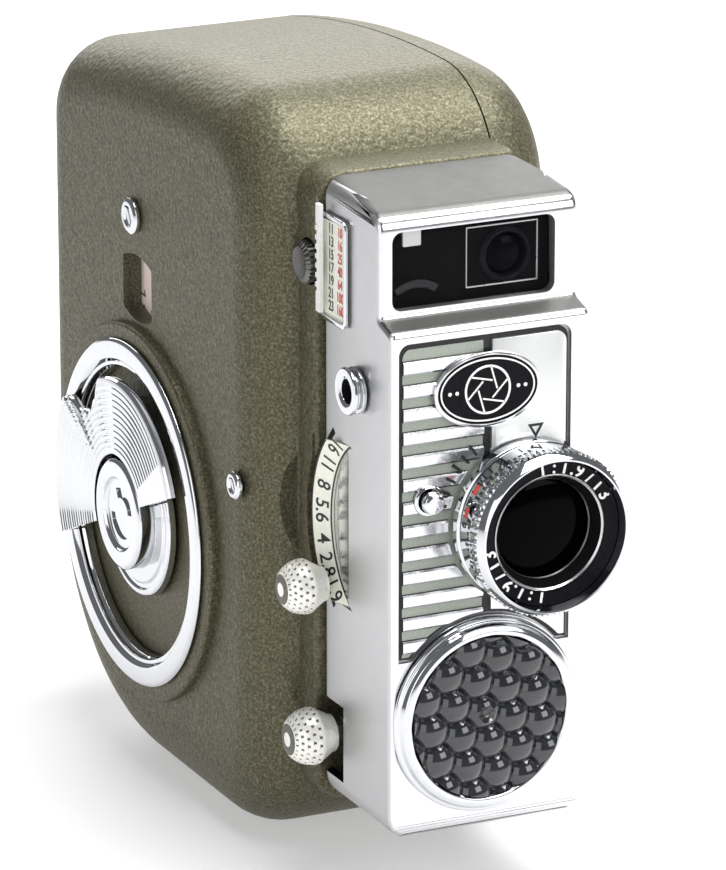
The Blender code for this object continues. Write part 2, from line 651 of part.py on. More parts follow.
def make_housing():
    cap = cap_block("front_housing", 0, "satin")
    cut(cap, cap_block("cap_hollow", CAP_WALL))
    cut(cap, dial_seat("dial_seat", -14.85))
    y, z = DIAL
    slope = [(-20, y + 8.2), (CAP_LEFT, y + 8.2), (-15.05, y + 15.4), (-20, y + 15.4)]
    dish = slab("dial_dish", "XY", [slope], z - DIAL_RISE, z + DIAL_RISE)
    cut(cap, boolean(dish, rod("dish_edge", "X", DIAL, 15.3, -25, -10, steps=48), "INTERSECT"))
    window = rectangle((-13.7, 96.2), (13.8, 108.6), 1.6)
    cut(cap, slab("window_hole", "XZ", [window], -80, -65))
    cut(cap, slab("panel_recess", "XZ", [panel_outline(0.35)], -80, CAP_FACE + 1.0))
    cut(cap, rod("lens_hole", "Y", LENS, 7.0, -80, -65, steps=24))
    cut(cap, rod("cell_hole", "Y", CELL, 13.4, -80, -65, steps=28))
    cut(cap, rod("pin_hole", "Y", PIN, 1.7, -80, -65, steps=12))
    cut(cap, slab("lever_slot", "YZ", [sector(DIAL, 19.1, 20.2, -47, 47, 16)], -20, -12))
    y, z = RELEASE
    cut(cap, block("release_notch", (-20, y - 3.6, z - 7.3), (-12, CAP_REAR + 5, z + 5.2)))
    join(cap, rod("lever_pivot", "X", DIAL, 1.4, -14.8, -12.4, steps=12))


def panel_outline(grow):
    """The trim panel: a rounded rectangle whose lower edge follows the cell's bezel."""
    low, high = (-14.25 - grow, 41.7 - grow), (14.25 + grow, 91.9 + grow)
    radius = 1.8
    bezel = 16.3 - grow
    meet = math.degrees(math.asin((low[1] - CELL[1]) / bezel))
    points = [low]
    points += arc(CELL, bezel, 180 - meet, meet, 16)
    points += [(high[0], low[1])]
    points += arc((high[0] - radius, high[1] - radius), radius, 0, 90, 3)
    points += arc((low[0] + radius, high[1] - radius), radius, 90, 180, 3)
    return points


def make_front():
    holes = [circle(LENS, 7.1, 20), circle(PIN, 1.8, 12)]
    slab("trim_panel", "XZ", [panel_outline(0), *holes], CAP_FACE + 0.7, CAP_FACE + 0.1, "ribbed")
    slab("badge", "XZ", [oval((0, 83.7), 9.0, 6.0)], CAP_FACE - 0.9, CAP_FACE - 0.2, "black")
    slab("finder_window", "XZ", [rectangle((-13.4, 96.5), (13.5, 108.3), 1.3)], -69.8, -69.0, "glass")
    bezel = [(13.4, -74.7), (15.7, -74.7), (15.7, -75.5), (14.9, -76.3), (13.9, -76.7), (13.4, -76.5)]
    turned("cell_bezel", "Y", CELL, bezel, "chrome", 28)
    lens = [(0, -77.1), (8.0, -76.8), (12.4, -75.9), (12.9, -75.3), (12.9, -73.0), (0, -73.0)]
    turned("cell_lens", "Y", CELL, lens, "glass", 24)
    rod("selenium_cell", "Y", CELL, 12.6, -72.4, -71.4, "black", 24)
    pin = [(0, -76.9), (1.2, -76.9), (1.8, -76.4), (1.8, -75.8), (1.3, -75.8), (1.3, -70.0), (0, -70.0)]
    turned("lock_pin", "Y", PIN, pin, "chrome", 16)


def make_lens():
    mount = [(5.2, -76.9), (12.5, -76.9), (12.8, -76.6), (12.8, -75.0), (12.5, -74.7), (6.6, -74.7)]
    mount += [(6.6, -54.0), (5.2, -54.0)]
    turned("lens_mount", "Y", LENS, mount, "chrome", 24)
    ring = [(10.0, -77.2), (12.5, -77.2), (12.8, -77.6), (12.8, -81.0), (13.2, -81.4), (13.2, -83.6)]
    ring += [(12.3, -85.1), (11.9, -85.1), (11.6, -83.3), (11.6, -82.5), (10.0, -82.0)]
    turned("focus_ring", "Y", LENS, ring, "chrome", 28)
    name_ring = [(9.2, -82.2), (11.5, -82.8), (11.5, -83.2), (9.2, -82.6)]
    turned("lens_name_ring", "Y", LENS, name_ring, "black", 28)
    front = [(0, -80.7), (5.0, -80.4), (8.3, -79.5), (8.9, -79.0), (8.9, -77.6), (0, -77.6)]
    turned("front_element", "Y", LENS, front, "glass", 24)
    tube("iris_ring", "Y", LENS, 2.6, 4.8, -70.0, -69.2, "black", 20)
    rear = [(0, -57.8), (4.6, -57.2), (4.9, -56.8), (4.9, -56.0), (0, -56.0)]
    turned("rear_element", "Y", LENS, rear, "glass", 20)


def make_finder():
    x, z = FINDER
    outer = rectangle((x - 4.4, z - 3.4), (x + 4.4, z + 3.4))
    inner = rectangle((x - 3.8, z - 2.8), (x + 3.8, z + 2.8))
    slab("finder_tube", "XZ", [outer, inner], -62.0, 38.0, "black")
    objective = [(0, -66.6), (2.6, -66.2), (3.4, -65.6), (3.4, -63.6), (0, -63.6)]
    turned("finder_objective", "Y", FINDER, objective, "glass", 20)
    collar = [(3.9, 40.5), (5.0, 40.5), (5.0, 46.2), (4.6, 46.8), (3.9, 46.8)]
    turned("finder_eyepiece", "Y", FINDER, collar, "black", 24)
    rod("eyepiece_lens", "Y", FINDER, 3.6, 44.0, 45.2, "glass", 20)


def make_meter():
    block("meter_movement", (-13.0, -64.0, 84.0), (-3.0, -54.0, 94.0), "black")
    x, z = METER
    needle = arc(METER, 1.4, 110, 430, 10) + [(x + 0.25, z + 9.5), (x - 0.25, z + 9.5)]
    origin_at(slab("meter_needle", "XZ", [needle], -66.8, -66.4, "black"), (x, 0, z))


# ---------------------------------------------------------------- controls

def dial_point(radius, angle):
    turn = math.radians(angle)
    return (DIAL[0] + radius * math.cos(turn), DIAL[1] + radius * math.sin(turn))


def knob_profile(base, neck, radius, length):
    """A knob on the -X side: a cone that opens from its neck, a short barrel and a domed end."""
    far = base - length
    profile = [(0, base), (neck, base), (radius, base - length * 0.38), (radius, base - length * 0.66)]
    profile += [(radius * 0.86, far + length * 0.14), (radius * 0.5, far + length * 0.03), (0, far)]
    return profile


def make_controls():
    inner, outer = DIAL_RADII
    cone = [(inner, -15.2), (inner, -15.5), (outer, -17.45), (outer, -17.15)]
    scale = turned("aperture_scale", "X", DIAL, cone, "cream", 48)
    y, z = DIAL
    reach = block("scale_reach", (-30, y + 6, z - DIAL_RISE), (-10, y + 25, z + DIAL_RISE))
    boolean(scale, reach, "INTERSECT")
    tip = [dial_point(19.95, KNOB_ANGLE - 4), dial_point(19.95, KNOB_ANGLE + 4)]
    back = arc(DIAL, 3.4, KNOB_ANGLE + 60, KNOB_ANGLE + 300, 12)
    lever = slab("aperture_lever", "YZ", [tip + back, circle(DIAL, 1.7, 12)], -14.0, -13.1, "steel")
    tab = sector(DIAL, 19.35, 19.95, KNOB_ANGLE - 4, KNOB_ANGLE + 4, 2)
    join(lever, slab("lever_tab", "YZ", [tab], -17.4, -13.4))
    origin_at(lever, (0, *DIAL))
    place = dial_point(KNOB_RADIUS, KNOB_ANGLE)
    turned("aperture_knob", "X", place, knob_profile(-17.7, 2.8, 4.4, 7.2), "cream", 16)
    y, z = RELEASE
    outline = rectangle((y - 8, z - 2), (y + 2.2, z + 2), 1.0, 2)
    lever = slab("release_lever", "YZ", [outline], -14.1, -13.1, "steel")
    join(lever, rod("release_post", "X", RELEASE, 1.6, -16.2, -13.6, steps=12))
    turned("release_knob", "X", RELEASE, knob_profile(-16.5, 3.0, 4.6, 7.6), "cream", 16)
    socket = [(1.9, -16.35), (3.7, -16.35), (3.7, -16.9), (3.0, -17.2), (3.0, -17.7), (3.8, -17.9)]
    socket += [(3.6, -18.4), (1.9, -18.4)]
    turned("cable_socket", "X", SOCKET, socket, "chrome", 16)
    outer = rectangle((-60.2, 90.9), (-50.8, 108.1), 1.4)
    slab("film_speed_frame", "YZ", [outer], -16.95, -16.35, "chrome")
    slab("film_speed_rack", "YZ", [rack_outline()], -17.9, -17.25, "cream")
    wheel = [(0, -18.9), (2.4, -18.9), (3.4, -18.4), (3.4, -17.25), (1.0, -17.25), (1.0, -14.0)]
    wheel += [(0, -14.0)]
    turned("film_speed_wheel", "X", SPEED_WHEEL, wheel, "steel", 20)


def rack_outline():
    """A toothed strip: its rear edge is a row of round-topped teeth."""
    front, root, tip = -53.1, -52.05, -51.6
    low, pitch, teeth = 92.2, 1.5, 11
    points = [(front, low), (root, low)]
    for tooth in range(teeth):
        start = low + tooth * pitch
        points += [(root, start + 0.4), (tip, start + 0.6), (tip, start + 1.1), (root, start + 1.3)]
    return points + [(root, low + teeth * pitch + 0.6), (front, low + teeth * pitch + 0.6)]


clear_scene()
PARTS = add_collection("cine_camera")
HELPERS = add_collection("cutters")
make_casting()
make_door()
make_latch()
make_side_details()
make_winder()
make_motor()
make_works()
make_spools()
make_counter()
make_housing()
make_front()
make_lens()
make_finder()
make_meter()
make_controls()
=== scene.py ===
"""Looks of the spring-wound cine camera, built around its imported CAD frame.

Pieces are drawn in the CAD's own units of UNIT metres and in its axes: the lens looks along -Y,
the winding side faces -X, the film door faces +X and +Z is up.
"""

import math

import bmesh
import bpy
from mathutils import Matrix, Vector


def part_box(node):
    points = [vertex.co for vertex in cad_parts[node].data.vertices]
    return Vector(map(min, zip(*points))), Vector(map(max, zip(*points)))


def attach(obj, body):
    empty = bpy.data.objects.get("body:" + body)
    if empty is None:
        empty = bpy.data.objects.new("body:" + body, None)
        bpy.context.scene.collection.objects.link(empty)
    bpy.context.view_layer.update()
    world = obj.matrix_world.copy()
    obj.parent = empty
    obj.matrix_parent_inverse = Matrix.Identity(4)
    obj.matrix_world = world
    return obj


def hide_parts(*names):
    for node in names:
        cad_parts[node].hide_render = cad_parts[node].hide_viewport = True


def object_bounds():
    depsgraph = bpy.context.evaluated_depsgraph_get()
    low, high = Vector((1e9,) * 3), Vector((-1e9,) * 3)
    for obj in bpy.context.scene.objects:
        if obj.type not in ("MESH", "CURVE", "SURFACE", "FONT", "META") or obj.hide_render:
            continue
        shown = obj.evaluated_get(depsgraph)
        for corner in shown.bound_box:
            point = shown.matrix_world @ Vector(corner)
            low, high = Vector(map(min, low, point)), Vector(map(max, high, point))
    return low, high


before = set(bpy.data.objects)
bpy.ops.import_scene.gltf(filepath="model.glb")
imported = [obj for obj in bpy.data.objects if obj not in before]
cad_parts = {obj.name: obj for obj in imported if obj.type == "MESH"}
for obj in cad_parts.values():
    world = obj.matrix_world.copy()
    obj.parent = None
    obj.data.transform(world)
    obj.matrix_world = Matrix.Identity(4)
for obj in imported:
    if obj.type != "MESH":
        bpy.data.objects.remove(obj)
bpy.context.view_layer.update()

UNIT = 0.00107          # metres in one drawing unit
GAP = 0.3

X, Y, Z = Vector((1, 0, 0)), Vector((0, 1, 0)), Vector((0, 0, 1))
# Each drawing plane as its u, v and outward directions
PLANES = {
    "front": (X, Z, -Y),
    "side": (-Y, Z, -X),    # the winding side, as it is seen
}


def centre(node):
    low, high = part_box(node)
    return (low + high) / 2 / UNIT


def low_corner(node):
    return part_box(node)[0] / UNIT


def high_corner(node):
    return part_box(node)[1] / UNIT


def axis_of(node, axis):
    """Where the node's axis runs: its centre without the coordinate along the axis."""
    place = centre(node)
    return [place[index] for index in range(3) if index != "XYZ".index(axis)]


# ---------------------------------------------------------------- meshes

def new_object(name, mesh):
    obj = bpy.data.objects.new(name, mesh)
    bpy.context.scene.collection.objects.link(obj)
    return obj


def from_bmesh(name, solid):
    solid.normal_update()
    bmesh.ops.recalc_face_normals(solid, faces=solid.faces)
    mesh = bpy.data.meshes.new(name)
    solid.to_mesh(mesh)
    solid.free()
    return new_object(name, mesh)


def evaluated_mesh(obj):
    bpy.context.view_layer.update()
    return bpy.data.meshes.new_from_object(obj.evaluated_get(bpy.context.evaluated_depsgraph_get()))


def bmesh_of(guide):
    """The editable mesh of a curve, which is removed."""
    solid = bmesh.new()
    solid.from_mesh(evaluated_mesh(guide))
    bpy.data.objects.remove(guide)
    return solid


def add_point(solid, place):
    return solid.verts.new(Vector(place) * UNIT)


def bridge(solid, first, second):
    """Faces between two closed rings of points; either ring may be one point."""
    steps = max(len(first), len(second))
    for step in range(steps):
        follow = (step + 1) % steps
        if len(first) == 1 and len(second) == 1:
            break
        if len(first) == 1:
            solid.faces.new((first[0], second[step], second[follow]))
        elif len(second) == 1:
            solid.faces.new((first[step], second[0], first[follow]))
        else:
            solid.faces.new((first[step], second[step], second[follow], first[follow]))


def settle(obj):
    """Applies the modifiers, so that the mesh can be worked on further."""
    mesh = evaluated_mesh(obj)
    obj.modifiers.clear()
    obj.data = mesh
    return obj


def smooth(obj, angle=35):
    obj.data.shade_smooth()
    obj.data.set_sharp_from_angle(angle=math.radians(angle))
    return obj


def boolean(obj, other, operation):
    modifier = obj.modifiers.new(other.name, "BOOLEAN")
    modifier.operation = operation
    modifier.solver = "MANIFOLD"
    modifier.material_mode = "TRANSFER"
    modifier.object = other
    settle(obj)
    bpy.data.objects.remove(other)
    return obj


def cut(obj, *others):
    for other in others:
        boolean(obj, other, "DIFFERENCE")
    return obj


def join(obj, *others):
    for other in others:
        boolean(obj, other, "UNION")
    return obj


def bevel(obj, width, segments=3, angle=40):
    modifier = obj.modifiers.new("edge", "BEVEL")
    modifier.width = width * UNIT
    modifier.segments = segments
    modifier.limit_method = "ANGLE"
    modifier.angle_limit = math.radians(angle)
    modifier.use_clamp_overlap = False
    modifier.miter_outer = "MITER_ARC" if segments > 2 else "MITER_SHARP"
    return settle(obj)


def flatten_shading(obj):
    """Keeps large flat faces flat beside rounded edges."""
    modifier = obj.modifiers.new("normals", "WEIGHTED_NORMAL")
    modifier.keep_sharp = True
    modifier.weight = 80
    return obj


def merge(name, objects):
    """One object from several."""
    solid = bmesh.new()
    for obj in objects:
        solid.from_mesh(obj.data)
        bpy.data.objects.remove(obj)
    mesh = bpy.data.meshes.new(name)
    solid.to_mesh(mesh)
    solid.free()
    return new_object(name, mesh)


# ---------------------------------------------------------------- outlines

def polar(middle, radius, angle):
    """A point at a distance and an angle, in degrees from +u towards +v."""
    turn = math.radians(angle)
    return middle[0] + radius * math.cos(turn), middle[1] + radius * math.sin(turn)


def arc(middle, radius, start, end, count):
    return [polar(middle, radius, start + (end - start) * step / count) for step in range(count + 1)]


def circle(middle, radius, count=96):
    return arc(middle, radius, 0, 360, count)[:-1]


def rectangle(low, high, radius=0.0, count=8):
    if radius == 0:
        return [low, (high[0], low[1]), high, (low[0], high[1])]
    points = []
    for u, v, start in (
        (high[0] - radius, low[1] + radius, -90),
        (high[0] - radius, high[1] - radius, 0),
        (low[0] + radius, high[1] - radius, 90),
        (low[0] + radius, low[1] + radius, 180),
    ):
        points += arc((u, v), radius, start, start + 90, count)
    return points


def sector(middle, inner, outer, start, end, count=48):
    return arc(middle, outer, start, end, count) + arc(middle, inner, end, start, count)


def soften(points, size, closed=True):
    """Rounds the corners of a profile."""
    result = []
    count = len(points)
    for index, point in enumerate(points):
        here = Vector(point)
        if not closed and index in (0, count - 1):
            result.append(tuple(here))
            continue
        before, after = Vector(points[index - 1]), Vector(points[(index + 1) % count])
        back, ahead = before - here, after - here
        if back.length < 1e-6 or ahead.length < 1e-6 or back.angle(ahead) > math.radians(165):
            result.append(tuple(here))
            continue
        start = here + back.normalized() * min(size, back.length * 0.4)
        end = here + ahead.normalized() * min(size, ahead.length * 0.4)
        for share in (0, 0.33, 0.67, 1):
            near, far = start.lerp(here, share), here.lerp(end, share)
            result.append(tuple(near.lerp(far, share)))
    return result


# ---------------------------------------------------------------- solids

def slab(name, plane, outlines, low, high):
    """Flat outlines, the first with the others as holes, between two depths.

    Outlines are in drawing units: (y, z) on the sides, (x, z) on the front and (x, y) on the
    top. The depths are coordinates too.
    """
    axis = {"YZ": 0, "XZ": 1, "XY": 2}[plane]
    curve = bpy.data.curves.new(name, "CURVE")
    curve.dimensions = "2D"
    curve.fill_mode = "BOTH"
    curve.extrude = abs(high - low) / 2
    for outline in outlines:
        spline = curve.splines.new("POLY")
        spline.points.add(len(outline) - 1)
        spline.use_cyclic_u = True
        for point, (u, v) in zip(spline.points, outline):
            point.co = (u, v, 0, 1)
    solid = bmesh_of(new_object(name, curve))
    bmesh.ops.remove_doubles(solid, verts=solid.verts, dist=1e-4)
    bmesh.ops.dissolve_limit(solid, angle_limit=0.001, verts=solid.verts, edges=solid.edges)
    middle = (low + high) / 2
    for vert in solid.verts:
        u, v, depth = vert.co
        place = [u, v]
        place.insert(axis, depth + middle)
        vert.co = Vector(place) * UNIT
    return from_bmesh(name, solid)


def block(name, low, high):
    return slab(name, "XY", [rectangle(low[:2], high[:2])], low[2], high[2])


def turned(name, axis, middle, profile, steps=96, vary=None):
    """Turns a profile of (radius, depth) points about an axis through middle.

    The profile closes on itself, or starts and ends on the axis. vary(index, angle) adds to
    the radius of a profile point.
    """
    solid = bmesh.new()
    closed = profile[0][0] > 0
    rings = []
    for index, (radius, depth) in enumerate(profile):
        ring = []
        for step in range(steps if radius > 0 else 1):
            angle = 2 * math.pi * step / steps
            reach = radius + (vary(index, angle) if vary and radius > 0 else 0)
            place = [middle[0] + reach * math.cos(angle), middle[1] + reach * math.sin(angle)]
            place.insert("XYZ".index(axis), depth)
            ring.append(add_point(solid, place))
        rings.append(ring)
    if closed:
        rings.append(rings[0])
    for first, second in zip(rings, rings[1:]):
        bridge(solid, first, second)
    return from_bmesh(name, solid)


def rod(name, axis, middle, radius, low, high, steps=48):
    return turned(name, axis, middle, [(0, low), (radius, low), (radius, high), (0, high)], steps)


def text(string, size, plane, place, turn=0.0, depth=0.06, stretch=1.0, weight=0.0):
    """Raised figures, centred on a place; turn is in degrees, anticlockwise as they are read."""
    curve = bpy.data.curves.new("figures", "FONT")
    curve.body = string
    curve.size = size
    curve.align_x = "CENTER"
    curve.align_y = "CENTER"
    curve.extrude = depth
    curve.offset = weight
    curve.resolution_u = 4
    solid = bmesh_of(new_object("figures", curve))
    bmesh.ops.remove_doubles(solid, verts=solid.verts, dist=1e-5)
    u, v, normal = PLANES[plane]
    spin = Matrix.Rotation(math.radians(turn), 3, "Z")
    for vert in solid.verts:
        flat = spin @ Vector((vert.co.x * stretch, vert.co.y, 0))
        vert.co = (Vector(place) + u * flat.x + v * flat.y + normal * vert.co.z) * UNIT
    return from_bmesh("figures", solid)


# ---------------------------------------------------------------- materials

def tree(name):
    material = bpy.data.materials.new(name)
    material.use_nodes = True
    nodes = material.node_tree.nodes
    return material, material.node_tree, nodes["Principled BSDF"]


def link(graph, source, output, target, socket):
    graph.links.new(source.outputs[output], target.inputs[socket])


def noise(graph, scale, detail=2.0, stretch=(1, 1, 1)):
    """Noise in the piece's own space; scale is features per metre."""
    coordinates = graph.nodes.new("ShaderNodeTexCoord")
    mapping = graph.nodes.new("ShaderNodeMapping")
    mapping.inputs["Scale"].default_value = stretch
    texture = graph.nodes.new("ShaderNodeTexNoise")
    texture.inputs["Scale"].default_value = scale
    texture.inputs["Detail"].default_value = detail
    link(graph, coordinates, "Object", mapping, "Vector")
    link(graph, mapping, "Vector", texture, "Vector")
    return texture


def ramp(graph, source, output, stops):
    """A colour ramp of (position, colour) stops."""
    node = graph.nodes.new("ShaderNodeValToRGB")
    elements = node.color_ramp.elements
    while len(elements) < len(stops):
        elements.new(0.5)
    for element, (position, colour) in zip(elements, stops):
        element.position = position
        element.color = (*colour, 1)
    link(graph, source, output, node, "Fac")
    return node


def add_bump(graph, shader, source, output, distance, strength=1.0, under=None):
    bump = graph.nodes.new("ShaderNodeBump")
    bump.inputs["Distance"].default_value = distance
    bump.inputs["Strength"].default_value = strength
    link(graph, source, output, bump, "Height")
    if under:
        link(graph, under, "Normal", bump, "Normal")
    link(graph, bump, "Normal", shader, "Normal")
    return bump


def finish(name, colour, roughness, metallic=0.0, grain=3000, spread=0.06, rough_spread=0.08,
           depth=0.00001, stretch=(1, 1, 1), coat=0.0, specular=0.5, glow=0.0):
    """A material whose colour, roughness and surface vary with a grain of the given scale."""
    material, graph, shader = tree(name)
    texture = noise(graph, grain, 3.0, stretch)
    dark = tuple(max(0.0, c * (1 - spread)) for c in colour)
    light = tuple(min(1.0, c * (1 + spread)) for c in colour)
    tint = ramp(graph, texture, "Fac", [(0.3, dark), (0.7, light)])
    link(graph, tint, "Color", shader, "Base Color")
    low, high = max(0.0, roughness - rough_spread / 2), min(1.0, roughness + rough_spread / 2)
    worn = noise(graph, grain * 0.07, 4.0, stretch)
    rough = ramp(graph, worn, "Fac", [(0.3, (low,) * 3), (0.7, (high,) * 3)])
    link(graph, rough, "Color", shader, "Roughness")
    shader.inputs["Metallic"].default_value = metallic
    shader.inputs["Coat Weight"].default_value = coat
    shader.inputs["Coat Roughness"].default_value = 0.08
    add_bump(graph, shader, texture, "Fac", depth)
    shader.inputs["Specular IOR Level"].default_value = specular
    # Emission for a part that is no lamp: painted light
    if glow:
        shader.inputs["Emission Color"].default_value = (*colour, 1)
        shader.inputs["Emission Strength"].default_value = glow
    return material


def lacquer_finish():
    """Olive-grey hammered lacquer: soft cells with a fine metallic grain."""
    material, graph, shader = tree("hammered_lacquer")
    coordinates = graph.nodes.new("ShaderNodeTexCoord")
    warp = noise(graph, 600, 2.0)
    mixed = graph.nodes.new("ShaderNodeMix")
    mixed.data_type = "VECTOR"
    mixed.inputs["Factor"].default_value = 0.0009
    link(graph, coordinates, "Object", mixed, "A")
    link(graph, warp, "Color", mixed, "B")
    cells = graph.nodes.new("ShaderNodeTexVoronoi")
    cells.feature = "SMOOTH_F1"
    cells.inputs["Scale"].default_value = 880
    cells.inputs["Smoothness"].default_value = 0.7
    link(graph, mixed, "Result", cells, "Vector")
    grain = noise(graph, 3200, 3.0)
    flakes = noise(graph, 2300, 4.0)
    stops = [(0.34, (0.062, 0.057, 0.033)), (0.52, (0.105, 0.098, 0.060)), (0.68, (0.18, 0.17, 0.115))]
    tint = ramp(graph, flakes, "Fac", stops)
    link(graph, tint, "Color", shader, "Base Color")
    rough = ramp(graph, grain, "Fac", [(0.3, (0.36,) * 3), (0.7, (0.54,) * 3)])
    link(graph, rough, "Color", shader, "Roughness")
    shader.inputs["Metallic"].default_value = 0.4
    shader.inputs["Specular IOR Level"].default_value = 0.2
    under = add_bump(graph, shader, cells, "Distance", 0.00020, 0.6)
    add_bump(graph, shader, grain, "Fac", 0.00006, 0.6, under)
    return material


def clear_glass():
    """Window glass: a faintly tinted pane that shows what is behind it."""
    material, graph, shader = tree("window_glass")
    texture = noise(graph, 900, 2.0)
    rough = ramp(graph, texture, "Fac", [(0.3, (0.01,) * 3), (0.7, (0.05,) * 3)])
    link(graph, rough, "Color", shader, "Roughness")
    shader.inputs["Base Color"].default_value = (0.02, 0.02, 0.025, 1)
    shader.inputs["Alpha"].default_value = 0.06
    shader.inputs["Specular IOR Level"].default_value = 0.08
    return material


# Painted shade for the knob's dents: a dark grey that stands in for the shadow inside them
def painted_knurl_shade():
    material, graph, shader = tree("knurl_shadow")
    texture = noise(graph, 2500, 2.0)
    tint = ramp(graph, texture, "Fac", [(0.3, (0.10, 0.097, 0.085)), (0.7, (0.18, 0.175, 0.15))])
    link(graph, tint, "Color", shader, "Base Color")
    shader.inputs["Roughness"].default_value = 0.6
    return material


def make_finishes():
    return {
        "lacquer": lacquer_finish(),
        "blasted": finish("blasted_aluminium", (0.60, 0.60, 0.61), 0.40, 1.0, 4200, 0.07, 0.06, 0.00003),
        # Painted shade: a darker copy of the blasted aluminium for the housing's upward faces
        "blasted_shaded_top": finish("blasted_shaded_top", (0.11, 0.11, 0.105), 0.45, 1.0, 4200, 0.10, 0.06, 0.00004),
        "polished": finish("polished_aluminium", (0.74, 0.74, 0.76), 0.16, 1.0, 1600, 0.03, 0.06, 0.000004),
        "plate": finish("satin_plate", (0.80, 0.81, 0.80), 0.34, 1.0, 5200, 0.06, 0.06, 0.00002),
        "groove": finish("grey_green_groove", (0.34, 0.37, 0.32), 0.5, 0.3, 2600, 0.10),
        "chrome": finish("chrome", (0.68, 0.69, 0.71), 0.07, 1.0, 900, 0.02, 0.05, 0.000002),
        "steel": finish("drawn_steel", (0.56, 0.56, 0.57), 0.30, 1.0, 2400, 0.08, 0.12, 0.00001, (1, 0.15, 1)),
        "dark_steel": finish("dark_steel", (0.16, 0.16, 0.155), 0.3, 1.0, 2400, 0.1, 0.12),
        "brass": finish("turned_brass", (0.78, 0.58, 0.27), 0.27, 1.0, 2400, 0.10, 0.12, 0.00001),
        "black_metal": finish("blackened_metal", (0.022, 0.022, 0.024), 0.38, 0.4, 2600, 0.25),
        "black": finish("black_enamel", (0.008, 0.008, 0.010), 0.16, 0.0, 1200, 0.2, 0.05, 0.000003, coat=0.04,
                        specular=0.03),
        "matt_black": finish("matt_black", (0.006, 0.006, 0.006), 0.75, 0.0, 2600, 0.2, specular=0.03),
        "plastic": finish("black_moulding", (0.018, 0.018, 0.018), 0.42, 0.0, 3000, 0.15, 0.08, 0.00002),
        "cream": finish("cream_enamel", (0.90, 0.89, 0.82), 0.28, 0.25, 1500, 0.05, 0.10, 0.00001, coat=0.3),
        "scale": finish("cream_scale", (0.84, 0.85, 0.74), 0.42, 0.15, 1500, 0.05),
        # Black ink for print; the rib flanks also use it as a painted dark reflection
        "ink_and_painted_reflection": finish("black_ink_and_painted_reflection", (0.012, 0.012, 0.012), 0.45, 0.0, 2000, 0.2),
        "white": finish("white_paint", (0.86, 0.86, 0.84), 0.4, 0.0, 2000, 0.04),
        "red": finish("red_paint", (0.55, 0.05, 0.04), 0.4, 0.0, 2000, 0.08),
        # Painted light: the counter card glows a little, as if lit through its window
        "glowing_card_pink": finish("counter_card", (0.72, 0.60, 0.56), 0.55, 0.0, 1500, 0.06, glow=0.35),
        "glass": finish("dark_glass", (0.0005, 0.0005, 0.001), 0.03, 0.0, 700, 0.2, 0.02, 0.000001,
                        specular=0.03),
        "cell": finish("cell_glass", (0.022, 0.023, 0.026), 0.07, 0.0, 700, 0.2, 0.04, 0.000001, coat=0.8),
        "clear": clear_glass(),
        # The knob dents' painted shade
        "knurl": painted_knurl_shade(),
    }


def assign(obj, material_name):
    obj.data.materials.clear()
    obj.data.materials.append(FINISHES[material_name])
    return obj


def blacken(cutter):
    """The faces that this cutter leaves are matt black; in the wheel pocket and the release notch this is painted
    shade.
    """
    return assign(cutter, "matt_black")


def paint(obj, choose, names):
    """Gives each face the finish that choose(centre, normal) names."""
    obj.data.materials.clear()
    for name in names:
        obj.data.materials.append(FINISHES[name])
    for face in obj.data.polygons:
        face.material_index = names.index(choose(face.center / UNIT, face.normal))
    return obj


def fit(obj, body, slot, *nodes):
    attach(obj, body)
    if nodes:
        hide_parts(*nodes)
    return obj


def piece(obj, material_name, body, slot, *nodes, angle=35):
    """Finishes a piece with one material and puts it on its body."""
    assign(smooth(obj, angle), material_name)
    return fit(obj, body, slot, *nodes)


# ---------------------------------------------------------------- body and door

WINDING_X, DOOR_X, EDGE, WALL, SEAM = -24.2, 28.3, 10.5, 2.4, 16.6
DOME_RADIUS, DOME_TOP = 265.0, (-22.0, 122.3)
CORNERS = {             # name: (centre y, centre z, radius)
    "rear_bottom": (4.0, 41.0, 41.0),
    "rear_top": (31.0, 102.64, 14.0),
    "front_top": (-26.0, 103.27, 19.0),
    "front_bottom": (-26.0, 19.0, 19.0),
}
SIDE_WALL_X, PLINTH_FRONT = -21.0, -50.3
CAP_LEFT, CAP_RIGHT, CAP_REAR, CAP_FACE, CAP_UPPER = -16.03, 17.8, -50.65, -74.4, -70.1
CAP_BOTTOM, CAP_STEP, CAP_TOP, CAP_WALL = 12.2, 94.1, 113.2, 1.6
DIAL, DIAL_RADII, DIAL_RISE = (-67.85, 59.1), (15.4, 18.9), 13.0
WINDER = (3.0, 44.3)
SIDE_SCREWS = (((4.0, 94.1), 3.0, "side_screw_upper"), ((-36.4, 60.4), 2.3, "side_screw_front"))


def body_outline(inset, count=20):
    dome_centre = (DOME_TOP[0], DOME_TOP[1] - DOME_RADIUS)

    def towards(name):
        y, z, _ = CORNERS[name]
        return math.degrees(math.atan2(z - dome_centre[1], y - dome_centre[0]))

    def corner(name, start, end, steps):
        y, z, radius = CORNERS[name]
        return arc((y, z), radius - inset, start, end, steps)

    rear, front = towards("rear_top"), towards("front_top")
    points = corner("rear_bottom", -90, 0, count + 16)
    points += corner("rear_top", 0, rear, count)
    points += arc(dome_centre, DOME_RADIUS - inset, rear, front, count)[1:-1]
    points += corner("front_top", front, 180, count)
    points += corner("front_bottom", 180, 270, count)
    return points


def body_block(name, inset, low, high, edge, count=20, segments=10):
    return bevel(slab(name, "YZ", [body_outline(inset, count)], low, high), edge, segments, 60)


def counter_outline(grow):
    low, high = low_corner("counter_glass"), high_corner("counter_glass")
    y, z = (low.y + high.y) / 2, (low.z + high.z) / 2
    half_u, rise = (high.y - low.y) / 2 + grow, 1.3
    half_v = (high.z - low.z) / 2 - rise + grow
    top = [(y + half_u * (1 - step / 12), z + half_v + rise * (1 - (1 - step / 12) ** 2)) for step in range(25)]
    return top + [(2 * y - u, 2 * z - v) for u, v in top]


